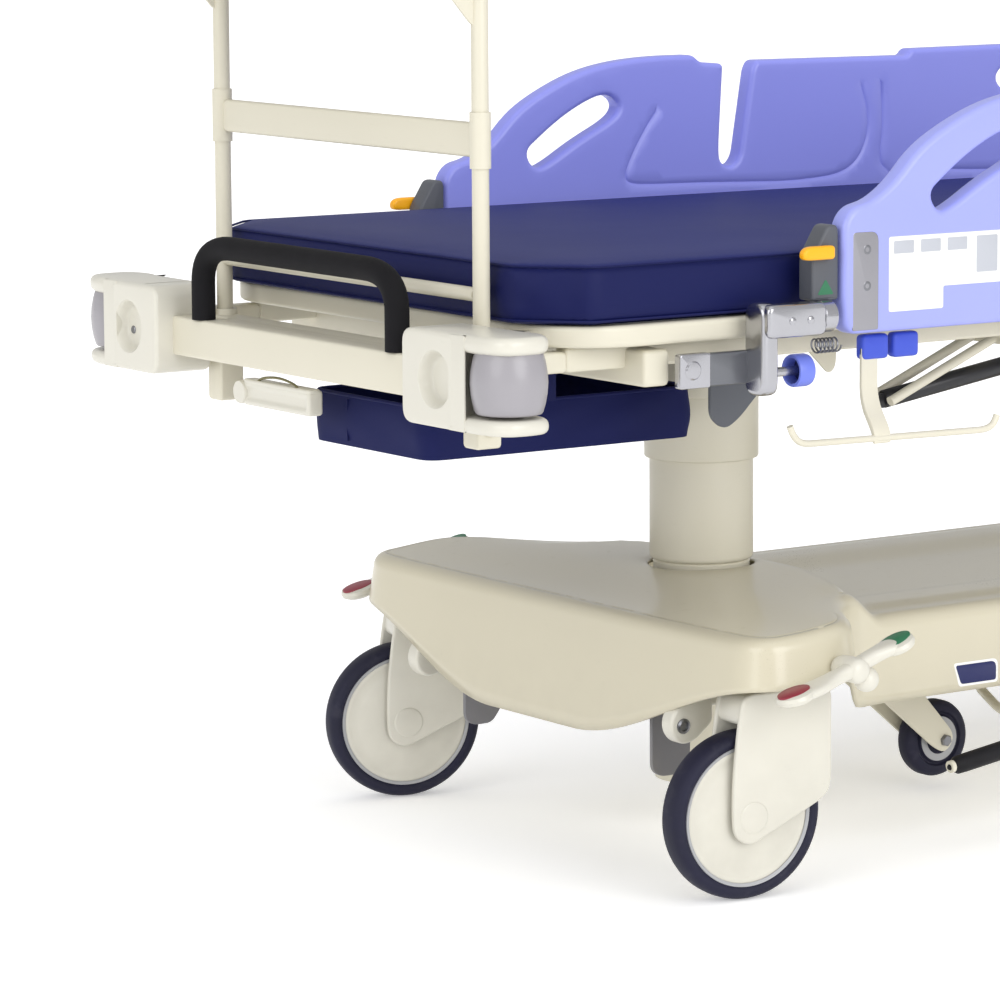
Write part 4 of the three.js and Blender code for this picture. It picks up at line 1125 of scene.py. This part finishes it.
def side_rails():
    """Blow-moulded rails with rounded edges. The face towards the mattress has shallow grooves of
    depth 2.4 cos^2(pi d / 2h) at distance d from their line, over half width h."""
    outline = np.array(RAIL_OUTLINE, float)
    loop = eased(outline[:, :2], outline[:, 2], 6)
    holes = [eased(np.array(g, float)[:, :2], np.array(g, float)[:, 2], 6) for g in RAIL_GRIPS]
    half = 4.5
    lines, middles = [], []
    for groove in RAIL_GROOVES:
        middle = eased(np.array(groove, float), 30, 7, closed=False)
        middles.append(middle)
        edge = unit(np.gradient(middle, axis=0))
        left = np.column_stack([-edge[:, 1], edge[:, 0]])
        lines += [middle + left * half * k for k in (-1, -0.5, 0, 0.5, 1)]
    every = np.vstack([fine_line(m, 2.0) for m in middles])
    dots = lattice(np.arange(6, 1350, 11.0), np.arange(6, 274, 11.0))
    rims = np.vstack([resampled(g, 6.0) for g in (loop, *holes)])
    dots = dots[(distance_to(dots, every) > 9) & (distance_to(dots, rims) > 12)]

    def grooved(p):
        """How far the face drops at each point."""
        d = distance_to(p, every)
        return -2.4 * np.cos(math.pi / 2 * np.clip(d / half, 0, 1)) ** 2

    for side, t in SIDES.items():
        low, high = span(f"side_rail_{side}")
        thick = high[1] - low[1]
        outer = low[1] if t < 0 else high[1]
        points, faces = moulded(loop, 0, thick, 7.5, holes, grooved, dots, lines, axes="xzy", steps=6)
        points = points + np.array([low[0], 0, low[2]])
        points[:, 1] = outer - t * points[:, 1]
        # Each rail takes its own copy of the lavender: painted lit on the near side, painted shade on the far
        # side.
        piece(f"rail_{side}", (points, faces), RAIL_LAVENDER_LIT_AND_SHADED[side], f"rail_{side}",
              f"side_rail_{side}", sharp=48)
        rail_trim(side, t, low, outer)


def fine_line(line, pitch):
    """The open line as points a fixed way apart."""
    length = np.concatenate([[0], np.cumsum(np.linalg.norm(np.diff(line, axis=0), axis=1))])
    at = np.arange(0, length[-1], pitch)
    return np.column_stack([np.interp(at, length, line[:, i]) for i in (0, 1)])


def rail_trim(side, t, low, outer):
    """Aluminium plate with two screws, and a plain white panel, on the rail's outer face."""
    x, z = low[0], low[2]
    body = f"rail_{side}"
    plate = eased([(x + 12, z + 4), (x + 50, z + 4), (x + 50, z + 118), (x + 12, z + 118)], [3, 3, 12, 5])
    skin = sorted((outer + t * 0.2, outer - t * 2.0))
    piece(f"{body}_plate", moulded(plate, *skin, 0.9, axes="xzy"), ALUMINIUM, body)
    screws, panel_parts = [], []
    for level in (97, 55):
        head = [(0, -1.6), (2.0, -1.6), (2.0, 0.0), (4.8, 0.4), (5.6, 0.1), (6.4, -0.6), (5.2, -2), (0, -2)]
        screws.append(turned(head, (x + 33, outer + t * 0.1, z + level), (0, t, 0), 28))
    piece(f"{body}_screws", joined(*screws), SCREW, body)
    panel = eased([(x + 65, z + 23), (x + 146, z + 23), (x + 146, z + 49), (x + 235, z + 49),
                   (x + 235, z + 110), (x + 65, z + 110)], 3)
    skin = sorted((outer + t * 0.25, outer - t * 1.0))
    piece(f"{body}_panel", moulded(panel, *skin, 0.12, axes="xzy", steps=3), LABEL, body)
    skin = sorted((outer + t * 0.35, outer - t * 0.8))
    for a, b, c, d in ((72, 102, 90, 105), (112, 142, 90, 105), (152, 182, 90, 105), (196, 228, 62, 105)):
        tile = eased([(x + a, z + c), (x + b, z + c), (x + b, z + d), (x + a, z + d)], 2)
        panel_parts.append(moulded(tile, *skin, 0.1, axes="xzy", steps=3))
    piece(f"{body}_panel_tiles", joined(*panel_parts), LABEL_GREY, body)


def hinges():
    """Steel leg and arm of each rail hinge, latch box and lever, pull knob, spring and drainage rack,
    all drawn on the far side and mirrored to the near one."""
    for side, t in SIDES.items():
        node = f"rail_hinge_{side}"

        def put(name, parts, finish, body="deck", replaces=()):
            """A piece of this side's hinge, mirrored to its side."""
            return piece(name, flipped(joined(*parts), y=t), finish, body, replaces)

        leg = [block((-664.5, 399, 597.5), (-641.5, 437, 703.5), 6, 10),
               block((-662, 418, 664), (-578, 443.5, 702), 5, 6)]
        rivets = [turned([(0, 0), (4.6, 0), (4.6, 1.4), (3.4, 2.4), (0, 2.8)], (x, 442.6, 683), (0, 1, 0), 24)
                  for x in (-628, -602)]
        put(f"hinge_{side}_leg", leg + rivets, STEEL, replaces=(node,))
        put(f"hinge_{side}_arm", [block((-722, 396, 611), (-655, 406, 649), 2.5, 6)], DARK_STEEL)
        polished = [block((-759, 395.2, 610.2), (-716, 406.8, 649.8), 1.6, 2.4),
                    turned([(0, 11), (11, 11), (11, 15), (9, 17), (0, 17.6)], (-741, 392, 631),
                           (0, 1, 0), 32)]
        put(f"hinge_{side}_arm_end", polished, STEEL)
        eye = [(0, 0), (17, 0), (18.5, 1.4), (18.5, 17), (17, 18.4), (0, 18.4)]
        knuckle = [turned(eye, (-578.6, 425, 684), (1, 0, 0), 40),
                   block((-579, 397, 668), (-563, 424, 702), 4)]
        put(f"hinge_{side}_knuckle", knuckle, STEEL)
        outline = eased([(-584.5, 701), (-546.5, 701), (-546.5, 782), (-550, 787.5), (-562, 787.5),
                         (-584.5, 752)], [4, 4, 4, 4, 6, 10])
        put(f"latch_{side}_box", [upright(outline, 396.5, 424, 3.5)], LATCH_GREY)
        mark = eased([(-578, 708), (-554, 708), (-566, 726)], 3)
        put(f"latch_{side}_mark", [upright(mark, 422, 424.4, 0.3)], GREEN)
        lever = eased([(-606, 751), (-598, 749.2), (-560, 749.2), (-560, 765), (-598, 765), (-606, 760)],
                      [5, 6, 5, 5, 8, 5])
        put(f"latch_{side}_yellow", [upright(lever, 424.6, 436, 3.5)], YELLOW, f"latch_{side}",
            f"latch_lever_{side}")
        cup = [(0, 0), (15, 0), (18, -1.5), (19, -5), (19, -21), (18.2, -23), (15.4, -23), (14.4, -21),
               (14.4, -8), (0, -8)]
        put(f"knob_{side}_cup", [turned(cup, (-583, 412, 622), (1, 0, 0), 44)], KNOB, f"knob_{side}",
            f"release_knob_{side}")
        # The dark disc on the cup's floor is painted shade in the hollow.
        put(f"knob_{side}_painted_shade_disc", [turned(drum(14, 0, 1), (-591.6, 412, 622), (1, 0, 0), 32)],
            KNOB_PAINTED_SHADE, f"knob_{side}")
        put(f"knob_{side}_rod", [tube([(-639.5, 412, 622), (-590, 412, 622)], 5.5, steps=24)], STEEL,
            f"knob_{side}")
        q = np.linspace(0, 12 * math.pi, 150)
        coil = np.column_stack([-572 + 34 * q / q[-1], 410 + 8 * np.cos(q), 648 + 8 * np.sin(q)])
        put(f"hinge_{side}_spring", [tube(coil, 1.1, up=(1, 0, 0), steps=8)], SCREW)

        clips = [block((x0, 389, 625.5), (x1, 404, 655), 4) for x0, x1 in ((-495, -456), (-449, -411))]
        put(f"rack_{side}_clips", clips, CLIP)
        rod = eased([(-617, 424, 560), (-612, 424, 548), (-600, 424, 538), (-326, 424, 534), (-314, 424, 539),
                     (-309, 424, 550)], [2, 10, 14, 12, 8, 2], 7, False)
        strap = eased([(426.5, 530), (427, 545), (402, 578), (402, 640), (396.5, 640), (396.5, 574),
                       (421, 540), (421.5, 530)], [4, 18, 20, 2, 2, 20, 16, 4])
        parts = [tube(rod, 4, up=(0, 1, 0), steps=16),
                 moulded(strap, -495, -471, 1.6, axes="yzx")]
        put(f"rack_{side}_rod", parts, CREAM, replaces=(f"drainage_rack_{side}",))


# ---------------------------------------------------------------- under the deck
def under_deck():
    """Gas spring, tray bag and tilt release. The bag's wall is its plan sunk from rim to floor."""
    start, end = np.array([-347.0, -250, 553]), np.array([150.0, -250, 627])
    way = unit(end - start)
    barrel = [(0, 4), (9.5, 4), (11, 6), (11, 285), (9, 288), (6.4, 290), (6.4, 291), (0, 291)]
    body = [turned(barrel, start, way, 40),
            turned(drum(9, -6, 6), start, (0, 1, 0), 32)]
    piece("gas_spring_body", joined(*body), BLACK, "gas_cylinder", "gas_cylinder")
    rod = [turned(drum(5, 72, 494), start, way, 24),
           turned(drum(9, -5, 5), end, (0, 1, 0), 32)]
    piece("gas_spring_rod", joined(*rod), STEEL, "gas_rod", "gas_rod")

    low, high = span("equipment_tray")
    x0, x1, y0, y1 = low[0] + 1, high[0] - 2, low[1] + 1, high[1] - 1
    plan = resampled(wound(eased([(x0, y0), (x1, y0), (x1, y1), (x0, y1)], 26)), 6.0)
    middle = np.array([(x0 + x1) / 2, (y0 + y1) / 2])
    rim_z, floor_z = 577.0, 518.0
    rows = []
    for share in np.linspace(0, 1, 16):
        z = np.full(len(plan), rim_z + (floor_z - rim_z) * share)
        fold = 1.5 * np.sin(plan[:, 0] / 21.0 + 4 * share) * np.sin(plan[:, 1] / 27.0 + 1.0)
        fold = fold * math.sin(math.pi * share)
        sag = 3.0 * math.sin(math.pi * min(share * 1.1, 1.0))
        rows.append(np.column_stack([inset(plan, 4.0 - sag) + (plan - inset(plan, 1.0)) * fold[:, None], z]))
    for share in np.linspace(0, 1, 9)[1:]:
        ring = inset(plan, 4.0) * (1 - share) + middle * share
        droop = 2.0 + 1.5 * np.sin(ring[:, 0] / 38.0) * np.sin(ring[:, 1] / 30.0)
        floor = floor_z - droop * smooth(share, 0, 0.3)
        rows.append(np.column_stack([ring, np.maximum(floor, low[2] + 0.4)]))
    points = np.vstack(rows)
    faces = grid_faces(len(rows), len(plan), wrap_columns=True)
    bag = piece("tray_bag", (points, faces), BAG, "deck", "equipment_tray", sharp=60)
    cloth = bag.modifiers.new("cloth", "SOLIDIFY")
    cloth.thickness, cloth.offset = 2.2 * MM, 1.0
    top = np.column_stack([plan, np.full(len(plan), 576.0)])
    hems = [tube(inset_path(top, 3.5), 2.6, steps=10, loop=True)]
    seam = np.array([(x0 - 0.2, 8, 572), (x0 - 1.0, 8, 545), (x0 - 0.2, 8, 523)])
    hems.append(tube(eased(seam, 20, 6, False), 1.3, up=(0, 1, 0), steps=8))
    for y in (y0 + 3, y1 - 6):
        hems.append(block((-780, y - 2, 545), (-760, y + 2, 612), 1))
    piece("tray_bag_hems", joined(*hems), PIPING, "deck")

    front = eased([(-7, 557), (141, 557), (141, 587), (-7, 587)], 5)
    dots = lattice(np.arange(-2, 137, 3.5), np.arange(561, 584, 2.0))
    panel = moulded(front, 981, 1001.5, 4, dots=dots, axes="yzx",
                    relief=lambda p: -2.2 * smooth(distance_to(p, resampled(front, 3.0)), 6.5, 9))
    grip = [flipped(panel, x=-1), block((-1002, -7, 583), (-984, 141, 588.6), 2, 4),
            turned(mirrored([(0, -13), (13, -13), (14, -11)]), (-991, 146, 572), (1, 0, 0), 36)]
    piece("tilt_handle_grip", joined(*grip), IVORY, "tilt_handle", "tilt_handle")
    loop = eased([(-999, 20, 586), (-1000, 24, 592), (-1000, 60, 597), (-999, 100, 593), (-998, 112, 587)],
                 20, 7, False)
    piece("tilt_handle_spring", tube(loop, 1.6, up=(1, 0, 0), steps=8), OLIVE, "tilt_handle")


def inset_path(path, distance):
    """A level path moved in by `distance`."""
    return np.column_stack([inset(path[:, :2], distance), path[:, 2]])


def badges():
    """Plain navy plate with a white border on each side of the waist."""
    for t in (-1, 1):
        for grow, finish, name in ((3, LABEL, "border"), (0, BADGE, "field")):
            outline = eased([(-219 - grow, 191 - grow), (-163 + grow, 191 - grow), (-163 + grow, 215 + grow),
                             (-228 - grow, 215 + grow)], [4, 4, 9, 4])
            out = 252.4 + (0.8 if name == "field" else 0.4)
            piece(f"badge_{name}_{'near' if t < 0 else 'far'}",
                  upright(outline, t * 249.0, t * out, 0.3, steps=3), finish, "base")


base_cover()
chassis()
columns()
castors()
pedals()
linkages()
deck()
mattress()
end_bars()
bumpers()
push_handles()
foot_frame()
side_rails()
hinges()
under_deck()
badges()


# ---------------------------------------------------------------- floor, lights and camera
def floor():
    """Pale plain floor with a faint cloud in its colour."""
    mesh = bpy.data.meshes.new("floor")
    size = 45.0
    corners = [(-size, -size, 0), (size, -size, 0), (size, size, 0), (-size, size, 0)]
    mesh.from_pydata(corners, [], [(0, 1, 2, 3)])
    f = Finish("pale_floor", Roughness=0.9, Emission_Color=(1, 1, 1, 1), Emission_Strength=0.34)
    cloudy = f.noise(0.8, 2.0)
    mesh.materials.append(f.show(Base_Color=f.mix(cloudy, (0.93, 0.93, 0.93, 1), (0.96, 0.96, 0.96, 1))))
    obj = bpy.data.objects.new("floor", mesh)
    bpy.context.scene.collection.objects.link(obj)


def sun(name, source, energy, spread=40.0):
    """Light from the direction `source`, softened over `spread` degrees."""
    data = bpy.data.lights.new(name, "SUN")
    data.energy, data.angle = energy, math.radians(spread)
    obj = bpy.data.objects.new(name, data)
    obj.rotation_euler = Vector(source).to_track_quat("Z", "Y").to_euler()
    bpy.context.scene.collection.objects.link(obj)


def camera():
    """A long lens at about the height of the deck, with the view shifted to the foot end."""
    data = bpy.data.cameras.new("camera")
    data.sensor_width, data.lens = 36.0, 168.13
    data.shift_x, data.shift_y = -0.30, -0.05
    data.clip_end = 200
    obj = bpy.data.objects.new("camera", data)
    right, up = Vector((0.7923, -0.6103, 0.0022)), Vector((0.0797, 0.1072, 0.9911))
    back = -Vector((0.60499, 0.78496, -0.13356))
    turn = Matrix((right, up, back)).transposed().to_4x4()
    obj.matrix_world = Matrix.Translation((-3.83475, -4.61833, 1.24538)) @ turn
    bpy.context.scene.collection.objects.link(obj)
    bpy.context.scene.camera = obj


floor()
world = bpy.data.worlds.new("studio")
world.use_nodes = True
world.node_tree.nodes["Background"].inputs[0].default_value = (1.0, 1.0, 1.0, 1)
world.node_tree.nodes["Background"].inputs[1].default_value = 0.64
bpy.context.scene.world = world
sun("key", (0.05, -0.9, 0.36), 1.25)
sun("fill", (-0.9, -0.25, 0.4), 0.75)
sun("top", (-0.1, -0.2, 1.0), 0.35, 60.0)
camera()
bpy.context.scene.view_settings.view_transform = "Standard"
